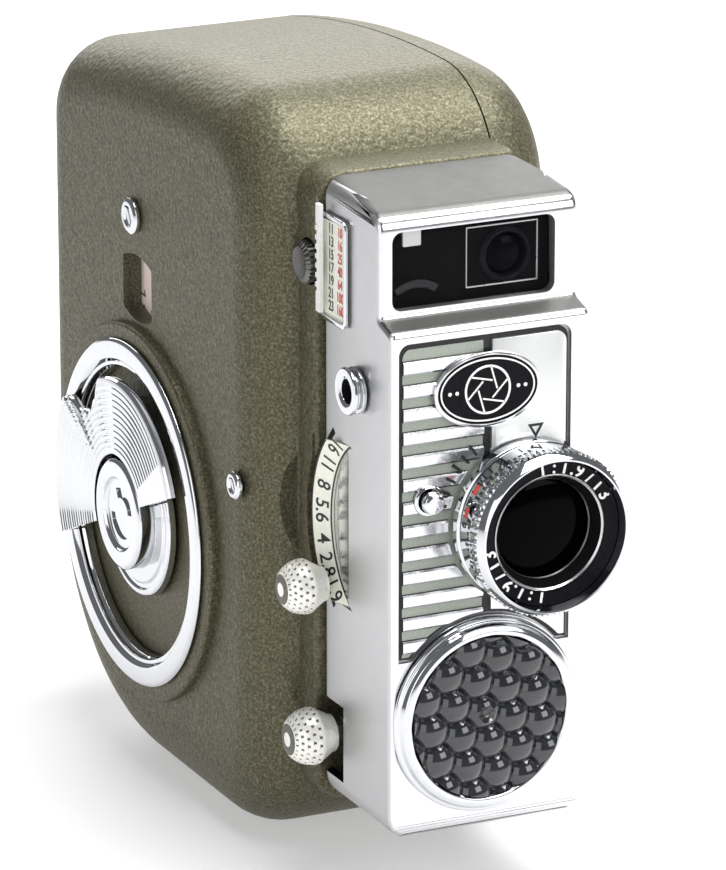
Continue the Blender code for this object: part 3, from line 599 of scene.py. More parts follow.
def make_body():
    casting = assign(body_block("body_shell", 0, WINDING_X, DOOR_X, EDGE), "lacquer")
    plinth = slab("plinth", "XZ", [rectangle((-17.3, 10.8), (30, 113.4), 5.0, 10)], PLINTH_FRONT, -38.0)
    join(casting, bevel(plinth, 0.9, 3, 60))
    boss = slab("boss", "YZ", [circle(WINDER, 31.4, 120)], WINDING_X - 1.5, -20.0)
    join(casting, bevel(boss, 0.6, 3, 60))
    rim_start = math.degrees(math.acos((PLINTH_FRONT + 0.6 - DIAL[0]) / 22.2))
    rim = slab("dial_rim", "YZ", [arc(DIAL, 22.2, -rim_start, rim_start, 48)], -18.3, -10.0)
    join(casting, bevel(rim, 0.5, 3, 60))
    hollow = body_block("hollow", WALL, SIDE_WALL_X, DOOR_X - WALL, EDGE - WALL, 10, 5)
    end = rim_start - 4
    pocket = arc(DIAL, 20.2, -end, end, 48)
    pocket = [(CAP_REAR - 2, DIAL[1] - 14.5)] + pocket + [(CAP_REAR - 2, DIAL[1] + 14.5)]
    finder, wheel = centre("finder_objective"), axis_of("film_speed_wheel", "X")
    cut(
        casting,
        blacken(hollow),
        block("door_side", (SEAM - GAP / 2, -60, -10), (60, 60, 140)),
        slab("recess", "YZ", [circle(WINDER, 24.4, 120)], -40, -23.2),
        slab("arbor_hole", "YZ", [circle(WINDER, 3.0, 32)], -30, -15),
        slab("counter_hole", "YZ", [counter_outline(0.35)], -30, -15),
        slab("dial_pocket", "YZ", [pocket], -30, -12.6),
        slab("knob_clearance", "YZ", [sector(DIAL, 15.0, 25.0, -48, 48)], -40, -17.6),
        rod("light_hole", "Y", axis_of("front_element", "Y"), 6.0, -60, -38),
        block("finder_hole", (finder.x - 4.8, -60, finder.z - 4.0), (finder.x + 4.8, -35, finder.z + 4.0)),
        rod("eyepiece_hole", "Y", (finder.x, finder.z), 5.4, 35, 60),
        rod("tripod_hole", "Z", axis_of("tripod_bush", "Z"), 6.3, -5, 5),
        rod("wheel_hole", "X", wheel, 1.3, -30, -12),
        # The wheel's pocket is matt black: painted shade behind the wheel
        blacken(rod("wheel_pocket", "X", wheel, 3.7, -30, -16.0, 64)),
        *[rod("screw_hole", "X", place, radius * 0.45 + GAP, -30, -15) for place, radius, _ in SIDE_SCREWS],
    )

    smooth(casting, 32)
    flatten_shading(casting)
    fit(casting, "camera", "lacquer", "body_casting")

    door = assign(body_block("door_shell", 0, WINDING_X, DOOR_X, EDGE), "lacquer")
    hollow = body_block("door_hollow", WALL, SIDE_WALL_X, DOOR_X - WALL, EDGE - WALL, 10, 5)
    cut(door, blacken(hollow))
    cut(door, block("body_side", (-60, -60, -10), (SEAM + GAP / 2, 60, 140)))
    join(door, slab("lip_foot", "YZ", [body_outline(1.6, 10), body_outline(4.6, 10)], SEAM + 1.0, SEAM + 2.6))
    join(door, slab("lip", "YZ", [body_outline(3.6, 10), body_outline(4.8, 10)], SEAM - 2, SEAM + 3))
    latch = axis_of("door_latch", "X")
    cut(door, rod("latch_recess", "X", latch, 12.2, DOOR_X - 1.0, 40, 96), rod("latch_hole", "X", latch, 2.4, 15, 40))
    smooth(door, 32)
    flatten_shading(door)
    fit(door, "door", "lacquer", "film_door")


# ---------------------------------------------------------------- winding side

def key_reach(angle):
    """The key's outer radius: a plain part, a finger notch and a lobe that reaches over the ring.

    The angle runs from the front, upwards.
    """
    stops = [(23, 22.6), (111, 22.6), (120, 19.8), (129, 18.7), (138, 20.4), (146, 25.4), (150, 27.1), (155, 27.4),
             (203, 27.4)]
    for (first, low), (second, high) in zip(stops, stops[1:]):
        if angle <= second:
            share = (angle - first) / (second - first)
            if first >= 111:
                share = share * share * (3 - 2 * share)
            return low + (high - low) * share
    return stops[-1][1]


def make_winder():
    ring = [(23.9, -23.5), (24.3, -23.5), (24.3, -26.0), (28.8, -26.0), (28.8, -26.3), (28.3, -26.7), (25.6, -26.7),
            (23.9, -24.9)]
    obj = turned("winding_bezel", "X", WINDER, soften(ring, 0.22), 144)
    piece(obj, "chrome", "camera", "chrome", "winding_ring", angle=50)

    hub = [(0, -27.6), (5.6, -27.6), (6.0, -27.9), (6.2, -28.3), (8.6, -28.4), (9.2, -28.0), (9.2, -25.4),
           (11.6, -25.4), (11.9, -25.0), (12.6, -25.0), (12.9, -25.4), (13.7, -25.3), (14.0, -25.0), (14.0, -23.9),
           (0, -23.9)]
    obj = turned("winding_boss", "X", WINDER, soften(hub, 0.16, closed=False), 128)
    for start in (60, 240):
        cut(obj, slab("slot", "YZ", [sector(WINDER, 2.6, 4.3, start, start + 110, 32)], -30, -27.2))
    piece(obj, "chrome", "winder", "chrome", "winding_hub", angle=40)

    # The key: fine concentric grooves inside a plain bevelled edge
    low, top, inner = -27.0, -28.3, 9.9
    groove_points = 88
    solid = bmesh.new()
    columns = []
    for angle in range(23, 204):
        reach = key_reach(angle)
        edge = [(inner, low), (inner, top + 0.15), (inner + 0.15, top)]
        grooves = []
        for step in range(groove_points):
            radius = inner + 0.5 + step * (reach - 1.5 - inner) / (groove_points - 1)
            pitch = (radius - inner) % 1.02
            grooves.append((radius, top + (0.16 if pitch < 0.34 else 0.0)))
        rim = [(reach - 0.9, top), (reach - 0.25, top + 0.25), (reach, top + 0.6), (reach, low)]
        columns.append([
            add_point(solid, (depth, *polar(WINDER, radius, 180 - angle))) for radius, depth in edge + grooves + rim
        ])
    for first, second in zip(columns, columns[1:]):
        for index in range(len(first)):
            follow = (index + 1) % len(first)
            solid.faces.new((first[index], first[follow], second[follow], second[index]))
    solid.faces.new(columns[0])
    solid.faces.new(columns[-1])
    obj = from_bmesh("key_flap", solid)
    piece(obj, "chrome", "key", "chrome", "winding_key", angle=30)


def make_side_details():
    glass = slab("counter_pane", "YZ", [counter_outline(0)], -23.6, -22.8)
    piece(bevel(glass, 0.25, 2), "clear", "camera", "glass", "counter_glass")
    for place, radius, node in SIDE_SCREWS:
        top, shank = WINDING_X - GAP, radius * 0.45
        profile = [(0, top - 0.55), (radius * 0.5, top - 0.6), (radius * 0.58, top - 1.0), (radius * 0.8, top - 1.0)]
        profile += [(radius, top - 0.6), (radius, top), (shank, top), (shank, -21.8), (0, -21.8)]
        screw = turned(node + "_head", "X", place, soften(profile, 0.12, closed=False), 64)
        y, z = place
        lean = math.radians(62)
        half, wide = radius * 0.6, radius * 0.12
        along, across = (math.cos(lean), math.sin(lean)), (-math.sin(lean), math.cos(lean))
        slot = [(y + along[0] * a * half + across[0] * b * wide, z + along[1] * a * half + across[1] * b * wide)
                for a, b in ((-1, -1), (1, -1), (1, 1), (-1, 1))]
        cut(screw, slab("slot", "YZ", [slot], top - 3, top - 0.25))
        piece(screw, "chrome", "camera", "chrome", node)
    disc = axis_of("counter_disc", "X")
    profile = [(0, -20.5), (16.3, -20.5), (16.3, -19.9), (2.4, -19.9), (2.4, -15.0), (0, -15.0)]
    # The card glows: painted light inside the dark window
    card = turned("counter_card", "X", disc, profile, 96)
    piece(card, "glowing_card_pink", "counter", "cream_metal", "counter_disc")
    marks = []
    for index in range(30):
        angle = index * 12
        inner = 12.6 if index % 3 else 11.2
        mark = sector(disc, inner, 14.4, angle - 0.7, angle + 0.7, 2)
        marks.append(slab("mark", "YZ", [mark], -20.58, -20.45))
        if index % 3 == 0:
            marks.append(text(str(index // 3), 2.6, "side", (-20.52, *polar(disc, 9.4, angle)), 180 - angle))
    piece(merge("counter_marks", marks), "ink_and_painted_reflection", "counter", "cream_metal")


# ---------------------------------------------------------------- front housing

def cap_profile(inset, count=8):
    """The housing's side outline: lower tier, sloping ledge, upper tier and top."""
    face, upper, top, bottom = CAP_FACE + inset, CAP_UPPER + inset, CAP_TOP - inset, CAP_BOTTOM + inset
    rear = CAP_REAR + (2 if inset else 0)
    points = [(rear, bottom), (rear, top), (CAP_UPPER + 14.6, top)]
    points += arc((upper + 3.0, CAP_TOP - 4.6), 3.0 if not inset else 2.4, 100, 180, count)
    if inset:
        points += [(upper, CAP_STEP + 0.8), (face, CAP_STEP - inset)]
    else:
        points += arc((upper - 0.6, CAP_STEP + 1.6), 0.6, 0, -80, 4)
        points += arc((face + 1.2, CAP_STEP - 1.0), 1.2, 100, 180, 6)
    points += arc((face + 2.4, bottom + 2.4), 2.4, 180, 270, count)
    return points


def cap_outline(inset, count=12):
    """The housing's front outline, with rounder corners below than above."""
    left, right = CAP_LEFT + inset, CAP_RIGHT - inset
    low, high = CAP_BOTTOM + inset, CAP_TOP - inset
    points = []
    for u, v, radius, start in (
        (right, low, 4.0, -90), (right, high, 3.2, 0), (left, high, 3.2, 90), (left, low, 4.0, 180),
    ):
        radius -= inset
        inward = -1 if start in (-90, 0) else 1
        upward = -1 if start in (0, 90) else 1
        points += arc((u + inward * radius, v + upward * radius), radius, start, start + 90, count)
    return points


def cap_block(name, inset):
    cap = slab(name, "YZ", [cap_profile(inset)], CAP_LEFT - 5, CAP_RIGHT + 5)
    return boolean(cap, slab("sides", "XZ", [cap_outline(inset)], -80, -40), "INTERSECT")


def dial_seat(depth):
    """A cutter that leaves a cone-shaped seat for the aperture scale."""
    inner, outer = DIAL_RADII
    y, z = DIAL
    profile = [(inner - 0.4, -25), (inner - 0.4, depth), (outer + 0.3, depth - 2.4), (outer + 0.3, -25)]
    reach = block("reach", (-30, y + 6, z - DIAL_RISE - 0.3), (-10, y + 25, z + DIAL_RISE + 0.3))
    return boolean(turned("seat", "X", DIAL, profile, 192), reach, "INTERSECT")


def panel_outline(grow, low_x=-14.25, high_x=14.25, corners=(True, True)):
    low, high = (low_x - grow, 41.7 - grow), (high_x + grow, 91.9 + grow)
    radius, bezel = 1.8, 16.3 - grow
    cell = centre("cell_lens")
    points = []
    for step in range(49):
        u = low[0] + (high[0] - low[0]) * step / 48
        reach = bezel ** 2 - (u - cell.x) ** 2
        points.append((u, max(low[1], cell.z + math.sqrt(reach)) if reach > 0 else low[1]))
    points += arc((high[0] - radius, high[1] - radius), radius, 0, 90, 8) if corners[1] else [high]
    left = (low[0], high[1])
    points += arc((left[0] + radius, left[1] - radius), radius, 90, 180, 8) if corners[0] else [left]
    return points


def make_housing():
    cap = cap_block("housing", 0)
    bevel(cap, 1.0, 4, 45)

    def side_finish(place, normal):
        if normal.y < -0.75:
            return "polished"
        # Upward faces get the darker copy of the blasted finish: painted shade
        return "blasted_shaded_top" if normal.z > 0.75 else "blasted"

    paint(cap, side_finish, ["blasted", "polished", "blasted_shaded_top"])
    y, z = DIAL
    slope = [(-20, y + 8.2), (CAP_LEFT, y + 8.2), (-15.05, y + 15.4), (-20, y + 15.4)]
    dish = slab("dish", "XY", [slope], z - DIAL_RISE, z + DIAL_RISE)
    boolean(dish, rod("dish_edge", "X", DIAL, 15.3, -25, -10, 192), "INTERSECT")
    knob = centre("release_knob")
    notch = block("release_notch", (-20, knob.y - 3.6, knob.z - 7.3), (-12, CAP_REAR + 5, knob.z + 5.2))
    cut(
        cap,
        blacken(cap_block("hollow", CAP_WALL)),
        assign(dial_seat(-14.85), "blasted"),
        assign(dish, "polished"),
        slab("window_hole", "XZ", [rectangle((-13.7, 96.2), (13.8, 108.6), 1.6)], -80, -65),
        slab("panel_recess", "XZ", [panel_outline(0.35)], -80, CAP_FACE + 1.0),
        rod("lens_hole", "Y", axis_of("front_element", "Y"), 7.0, -80, -65, 64),
        rod("cell_hole", "Y", axis_of("cell_lens", "Y"), 13.4, -80, -65, 96),
        rod("pin_hole", "Y", axis_of("lock_pin", "Y"), 1.7, -80, -65),
        slab("lever_slot", "YZ", [sector(DIAL, 19.1, 20.2, -47, 47)], -20, -12),
        # The release notch is matt black: painted shade in the recess
        blacken(notch),
    )

    smooth(cap, 38)
    flatten_shading(cap)
    fit(cap, "camera", "satin_aluminium", "front_housing")


def make_panel():
    lens, pin = axis_of("front_element", "Y"), axis_of("lock_pin", "Y")

    def around_lens():
        return rod("lens_clear", "Y", lens, 13.2, -80, -74.0, 96)

    base = slab("panel_back", "XZ", [panel_outline(0), circle(lens, 7.1), circle(pin, 1.8, 32)], -73.7, -73.9)
    piece(base, "black_metal", "camera", "ribbed_aluminium", "trim_panel")

    # Ribs: rounded bars with painted grooves between them; the bars' flanks are painted black as a painted dark
    # reflection
    pitch, low, high = 3.72, 41.7, 91.3
    floor, crest = -74.05, -74.55
    outline = [(-73.8, high), (floor, high)]
    top = high - 0.3
    while top > low + pitch:
        bar_top, bar_low = top - 1.45, top - pitch
        outline += [(floor, bar_top), (crest + 0.22, bar_top - 0.1)]
        outline += [(crest, bar_top - 0.4), (crest, bar_low + 0.4)]
        outline += [(crest + 0.22, bar_low + 0.1), (floor, bar_low)]
        top -= pitch
    outline += [(floor, low), (-73.8, low)]
    ribs = slab("panel_ribs", "YZ", [outline], -13.85, -0.25)
    keep = slab("keep", "XZ", [panel_outline(-0.4, -14.25, 0.4, (True, False))], -80, -70)
    boolean(ribs, keep, "INTERSECT")
    cut(ribs, around_lens(), rod("pin_clear", "Y", pin, 2.5, -80, -70))

    def rib_finish(place, normal):
        if place.y > floor - 0.02:
            return "groove"
        # Flanks facing up or down are painted black: a painted dark reflection
        return "ink_and_painted_reflection" if abs(normal.z) > 0.8 and place.y > crest + 0.1 else "polished"

    smooth(ribs, 25)
    paint(ribs, rib_finish, ["groove", "polished", "ink_and_painted_reflection"])
    fit(ribs, "camera", "ribbed_aluminium")

    plate = slab("panel_plate", "XZ", [panel_outline(-0.55, 0.5, 14.25, (False, True))], -74.6, -73.8)
    bevel(plate, 0.15, 2)
    cut(plate, around_lens())
    piece(plate, "plate", "camera", "ribbed_aluminium")

    index_x = 8.5
    outer = [(index_x - 1.35, 77.0), (index_x + 1.35, 77.0), (index_x, 74.7)]
    inner = [(index_x - 0.7, 76.6), (index_x + 0.7, 76.6), (index_x, 75.45)]
    marks = [slab("index", "XZ", [outer, inner], -74.68, -74.55)]
    for angle in (127, 134, 141, 149, 157, 165):
        marks.append(slab("tick", "XZ", [sector(lens, 14.0, 15.8, angle - 0.9, angle + 0.9, 2)], -74.66, -74.0))
    piece(merge("panel_marks", marks), "ink_and_painted_reflection", "camera", "ribbed_aluminium")


def make_badge():
    middle = axis_of("badge", "Y")
    front = low_corner("badge").y

    def ellipse(grow, count=96):
        return [(middle[0] + (9.0 + grow) * u, middle[1] + (6.0 + grow) * v) for u, v in circle((0, 0), 1, count)]

    plate = slab("badge_plate", "XZ", [ellipse(0)], front + 0.1, front + 0.7)
    bevel(plate, 0.2, 2)
    cut(plate, slab("enamel_bed", "XZ", [ellipse(-0.55)], front - 1, front + 0.3))
    piece(plate, "polished", "camera", "satin_aluminium", "badge")
    enamel = slab("badge_enamel", "XZ", [ellipse(-0.6)], front + 0.15, front + 0.35)
    piece(enamel, "black", "camera", "black_metal")
    drawing = [[ellipse(-1.0), ellipse(-1.25)], [circle(middle, 3.9), circle(middle, 3.55)]]
    for blade in range(6):
        near = Vector(polar((0, 0), 1.6, blade * 60))
        far = Vector(polar((0, 0), 3.7, blade * 60 + 82))
        side = (far - near).normalized().orthogonal() * 0.13
        corners = [near + side, far + side, far - side, near - side]
        drawing.append([[(middle[0] + c.x, middle[1] + c.y) for c in corners]])
    for reach in (-5.2, -6.4, 5.2, 6.4):
        drawing.append([circle((middle[0] + reach, middle[1]), 0.3, 24)])
    lines = [slab("line", "XZ", outlines, front + 0.08, front + 0.2) for outlines in drawing]
    piece(merge("badge_lines", lines), "white", "camera", "satin_aluminium")


def make_window():
    pane = slab("finder_pane", "XZ", [rectangle((-13.4, 96.5), (13.5, 108.3), 1.3)], -69.8, -69.0)
    bevel(pane, 0.2, 2)
    piece(pane, "clear", "camera", "glass", "finder_window")
    x, z = axis_of("finder_objective", "Y")
    mask = slab("finder_mask", "XZ", [rectangle((-14.2, 95.8), (14.2, 109.0), 1.0)], -66.9, -66.5)
    cut(mask, rod("objective_hole", "Y", (x, z), 3.5, -70, -60, 64))
    piece(mask, "matt_black", "camera", "black_metal")
    outer = rectangle((x - 6.6, z - 4.8), (x + 5.6, z + 4.8), 0.2)
    inner = rectangle((x - 6.45, z - 4.6), (x + 5.4, z + 4.6), 0.2)
    piece(slab("finder_frame_line", "XZ", [outer, inner], -67.05, -66.85), "steel", "camera", "black_metal")
    rim = [(3.5, -67.6), (4.0, -67.7), (4.4, -67.4), (4.6, -66.9), (3.5, -66.9)]
    piece(turned("finder_objective_rim", "Y", (x, z), soften(rim, 0.1), 96), "black", "camera", "black_metal")
    glass = [(0, -67.7), (1.6, -67.55), (2.8, -67.1), (3.4, -66.6), (3.4, -63.6), (0, -63.6)]
    piece(turned("finder_objective_glass", "Y", (x, z), glass, 96), "glass", "camera", "glass", "finder_objective")
    tab = slab("meter_mirror", "XZ", [rectangle((-10.6, 105.4), (-7.6, 108.6), 0.2)], -67.4, -67.0)
    piece(tab, "white", "camera", "cream_metal")
    arc_plate = slab("meter_arc", "XZ", [sector((-8.4, 93.4), 5.4, 6.6, 55, 125)], -67.6, -67.1)
    piece(bevel(arc_plate, 0.12, 2), "black_metal", "camera", "brass")


# ---------------------------------------------------------------- lens and cell

def make_lens():
    axis = axis_of("front_element", "Y")
    mount = [(5.2, -76.9), (12.4, -76.9), (12.8, -76.6), (12.8, -75.0), (12.5, -74.7), (6.6, -74.7), (6.6, -54.0),
             (5.2, -54.0)]
    piece(turned("lens_flange", "Y", axis, soften(mount, 0.15), 144), "chrome", "camera", "chrome", "lens_mount")

    teeth, steps = 84, 504
    profile = [(10.0, -77.2), (12.4, -77.2), (12.5, -77.7), (12.75, -77.9), (12.75, -80.9), (12.5, -81.05),
               (12.5, -81.3), (12.8, -81.4), (13.18, -81.5), (13.18, -83.5), (12.9, -83.7), (12.4, -84.8),
               (12.15, -85.05), (11.9, -85.0), (11.65, -83.4), (11.65, -82.5), (10.0, -82.0)]
    widest = max(radius for radius, _ in profile)

    def knurl(index, angle):
        place = angle * teeth / (2 * math.pi) % 1
        return -0.38 if profile[index][0] == widest and place < 0.5 else 0.0

    ring = turned("focus_collar", "Y", axis, profile, steps, knurl)
    piece(ring, "chrome", "focus", "chrome", "focus_ring", angle=28)

    def front_ring(name, profile, material, *nodes):
        piece(turned(name, "Y", axis, profile, 144), material, "focus", "black_metal", *nodes)

    front_ring("focus_groove", [(12.45, -81.35), (12.62, -81.35), (12.62, -81.0), (12.45, -81.0)], "ink_and_painted_reflection")
    name_ring = [(9.2, -82.2), (11.55, -82.8), (11.55, -83.15), (9.2, -82.55)]
    front_ring("lens_ring", name_ring, "black", "lens_name_ring")
    figures = []
    for start in (98, -98):
        for letter, step in zip("1:1.9/13", (0, 11, 21, 29, 36, 48, 59, 70)):
            u, v = polar(axis, 10.4, start - step)
            figures.append(text(letter, 2.9, "front", (u, -82.98, v), start - step - 90, 0.06, weight=0.05))
    piece(merge("lens_figures", figures), "white", "focus", "black_metal")
    front_ring("lens_inner_rim", [(9.05, -82.5), (9.3, -82.75), (9.15, -82.85), (8.9, -82.6)], "steel")
    tunnel = [(9.45, -82.3), (9.2, -82.5), (8.0, -80.4), (8.0, -80.0), (9.45, -80.0)]
    front_ring("lens_tunnel", tunnel, "matt_black")
    front_ring("lens_glass_rim", [(7.9, -80.3), (8.05, -80.55), (7.95, -80.6), (7.8, -80.4)], "dark_steel")
    front = [(0, -80.7), (2.5, -80.64), (5.0, -80.4), (7.0, -79.9), (8.3, -79.4), (8.9, -79.0), (8.9, -77.6),
             (0, -77.6)]
    piece(turned("front_glass", "Y", axis, front, 144), "glass", "focus", "glass", "front_element", angle=50)

    # Scale on the smooth band: ticks, figures and two coloured marks
    marks = []
    for step in range(28):
        back = -80.2 if step % 4 else -79.6
        marks.append(band_mark(axis, 100 + step * 4.2, 0.5, -80.8, back))
    for angle, string in ((104, "1"), (121, "2"), (138, "3"), (155, "5"), (172, "9")):
        marks.append(band_text(axis, string, 1.9, angle, -78.7))
    piece(merge("focus_marks", marks), "ink_and_painted_reflection", "focus", "chrome")
    reds = [band_mark(axis, angle, 1.6, -79.4, -78.4) for angle in (146, 163)]
    piece(merge("focus_red_marks", reds), "red", "focus", "chrome")

    axis = axis_of("lock_pin", "Y")
    pin = [(0, -76.9), (1.1, -76.9), (1.6, -76.7), (1.8, -76.3), (1.8, -75.8), (1.3, -75.7), (1.3, -70.0), (0, -70.0)]
    button = turned("lock_button", "Y", axis, soften(pin, 0.1, closed=False), 48)
    piece(button, "chrome", "lock", "chrome", "lock_pin")
    seat = [(1.9, -74.0), (2.45, -74.0), (2.45, -74.7), (1.9, -74.9)]
    piece(turned("lock_seat", "Y", axis, soften(seat, 0.1), 48), "chrome", "camera", "chrome")


def band_mark(axis, angle, width, low, high, radius=12.77):
    """A mark on the focus ring's smooth band."""
    solid = bmesh.new()
    half = math.degrees(width / 2 / radius)
    for reach in (radius - 0.1, radius + 0.03):
        for depth in (low, high):
            for side in (-half, half):
                u, v = polar(axis, reach, angle + side)
                add_point(solid, (u, depth, v))
    bmesh.ops.convex_hull(solid, input=solid.verts)
    return from_bmesh("mark", solid)


def band_text(axis, string, size, angle, depth, radius=12.76):
    """A figure on the focus ring's smooth band, its foot towards the front."""
    obj = text(string, size, "front", (0, 0, 0), 180)
    for vert in obj.data.vertices:
        place = vert.co / UNIT
        u, v = polar(axis, radius - place.y, angle - math.degrees(place.x / radius))
        vert.co = Vector((u, depth + place.z, v)) * UNIT
    return obj


def make_cell():
    axis = axis_of("cell_lens", "Y")
    bezel = [(13.0, -74.7), (15.7, -74.7), (15.75, -75.2), (15.5, -75.5), (15.1, -75.55), (14.9, -75.9),
             (14.7, -76.4), (13.9, -76.7), (13.3, -76.6), (13.0, -76.0)]
    piece(turned("cell_rim", "Y", axis, soften(bezel, 0.15), 144), "chrome", "camera", "chrome", "cell_bezel", angle=50)

    # Honeycomb of small domes
    pitch, turn, sphere = 5.2, math.radians(-17), 3.35
    level = -75.4
    solid = bmesh.new()
    along = Vector((math.cos(turn), math.sin(turn))) * pitch
    across = Vector((math.cos(turn + math.pi / 3), math.sin(turn + math.pi / 3))) * pitch
    for i in range(-4, 5):
        for j in range(-4, 5):
            middle = along * i + across * j + Vector((-0.5, 0.6))
            if middle.length > 17.5:
                continue
            hole = i == 0 and j == 0
            rings = []
            for ring in range(9):
                verts = []
                for step in range(24):
                    angle = turn + math.radians(step * 15)
                    offset = (math.degrees(angle - turn) + 30) % 60 - 30
                    edge = pitch / 2 / math.cos(math.radians(offset))
                    radius = edge * ring / 8
                    height = math.sqrt(sphere ** 2 - radius ** 2) - math.sqrt(sphere ** 2 - 9.02)
                    if hole and ring < 4:
                        height -= 1.1 * (1 - (ring / 4) ** 2)
                    u, v = axis[0] + middle.x + radius * math.cos(angle), axis[1] + middle.y + radius * math.sin(angle)
                    verts.append(add_point(solid, (u, level - height * 0.9, v)))
                    if ring == 0:
                        break
                rings.append(verts)
            for first, second in zip(rings, rings[1:]):
                bridge(solid, first, second)
    bmesh.ops.remove_doubles(solid, verts=solid.verts, dist=0.02 * UNIT)
    rim = [edge for edge in solid.edges if edge.is_boundary]
    made = bmesh.ops.extrude_edge_only(solid, edges=rim)["geom"]
    for vert in (v for v in made if isinstance(v, bmesh.types.BMVert)):
        vert.co.y = -73.0 * UNIT
    bmesh.ops.holes_fill(solid, edges=[edge for edge in solid.edges if edge.is_boundary], sides=0)
    domes = from_bmesh("cell_domes", solid)
    boolean(domes, rod("keep", "Y", axis, 12.95, -80, -73.2, 120), "INTERSECT")
    piece(domes, "cell", "camera", "cell_glass", "cell_lens", angle=24)


# ---------------------------------------------------------------- controls

def scale_cone(name, inner, outer, lift, thick, rise):
    """A band of the scale's cone, lifted off its face; its ends are cut level."""
    first, last = DIAL_RADII

    def face(radius):
        return -15.5 - 1.95 * (radius - first) / (last - first) - lift

    y, z = DIAL
    profile = [(inner, face(inner) + thick), (inner, face(inner)), (outer, face(outer)), (outer, face(outer) + thick)]
    reach = block("reach", (-30, y + 6, z - rise), (-10, y + 25, z + rise))
    return boolean(turned(name, "X", DIAL, profile, 240), reach, "INTERSECT")


def make_scale():
    inner, outer = DIAL_RADII
    band = scale_cone("aperture_band", inner, outer, 0, 0.3, DIAL_RISE)
    piece(band, "scale", "camera", "cream_metal", "aperture_scale")
    marks = [scale_cone("edge", inner + 0.02, inner + 0.28, 0.03, 0.1, DIAL_RISE - 0.05),
             scale_cone("edge", outer - 0.22, outer - 0.02, 0.03, 0.1, DIAL_RISE - 0.05)]
    slope = Vector((-1.95, outer - inner)).normalized()     # x and radial part of the way up the cone
    for string, angle in (("16", 45), ("11", 30.5), ("8", 16), ("5.6", 1), ("4", -14), ("2.8", -28), ("1.9", -42)):
        figure = text(string, 3.5, "front", (0, 0, 0), 0, 0.03, 0.95, weight=0.03)
        for vert in figure.data.vertices:
            place = vert.co / UNIT
            along = 2.0 - place.z          # the figures stand with their heads towards the lens
            depth = -15.5 + along * slope.x - 0.04 + place.y * 0.5
            turn = angle - math.degrees(place.x / 17.2)
            vert.co = Vector((depth, *polar(DIAL, inner + along * slope.y, turn))) * UNIT
        marks.append(figure)
    piece(merge("aperture_figures", marks), "ink_and_painted_reflection", "camera", "cream_metal")


def make_knob(name, node, neck, radius, body, slot_name):
    """A knob on a short neck; its dome carries rows of small dents."""
    low, high = low_corner(node), high_corner(node)
    middle = ((low.y + high.y) / 2, (low.z + high.z) / 2)
    base, far = high.x, low.x
    length = base - far
    start, dome = base - length * 0.42, length * 0.58 - 0.25
    steps, steepest = 20, math.radians(62)      # four steps to a row of dents
    profile = [(0, base), (neck, base), (neck + 0.1, base - 0.5), (radius - 0.35, base - length * 0.33),
               (radius - 0.1, base - length * 0.38)]
    first = len(profile)
    for step in range(steps + 1):
        turn = step / steps * steepest
        profile.append((radius * math.cos(turn) ** 0.8, start - dome * math.sin(turn) / math.sin(steepest)))
    profile += [(radius * 0.25, far + 0.05), (0, far)]

    def studs(index, angle):
        step = index - first
        if not 0 <= step <= steps or radius * 0.3 > profile[index][0]:
            return 0.0
        dent = step % 4 == 2 and (angle * 20 / (2 * math.pi) + (step // 4 % 2) * 0.5) % 1 < 0.42
        return -0.26 if dent else 0.0

    knob = turned(name, "X", middle, profile, 140, studs)
    smooth(knob, 30)

    # The dents are painted dark grey: painted shade in each dent; the rest of the knob is cream
    def stud_finish(where, normal):
        reach = math.hypot(where.y - middle[0], where.z - middle[1])
        if where.x > start or reach < radius * 0.3:
            return "cream"
        share = (start - where.x) / dome * math.sin(steepest)
        full = radius * math.cos(math.asin(min(0.999, max(0.0, share)))) ** 0.8
        return "knurl" if reach < full - 0.10 else "cream"

    paint(knob, stud_finish, ["cream", "knurl"])
    fit(knob, body, slot_name, node)


def make_controls():
    make_scale()
    make_knob("aperture_button", "aperture_knob", 2.8, 4.4, "aperture", "cream_metal")
    make_knob("release_button", "release_knob", 3.0, 4.6, "release", "cream_metal")
    axis = axis_of("cable_socket", "X")
    collar = [(1.9, -16.35), (3.7, -16.35), (3.7, -16.9), (3.0, -17.2), (3.0, -17.7), (3.8, -17.9), (3.6, -18.4),
              (2.5, -18.4), (1.9, -18.1)]
    piece(turned("socket_collar", "X", axis, soften(collar, 0.12), 96), "chrome", "camera", "chrome", "cable_socket")
    bore = [(0, -16.4), (2.0, -16.4), (2.0, -17.6), (1.7, -17.6), (1.4, -16.8), (0, -16.8)]
    piece(turned("socket_bore", "X", axis, bore, 64), "matt_black", "camera", "black_metal")
    make_film_speed()


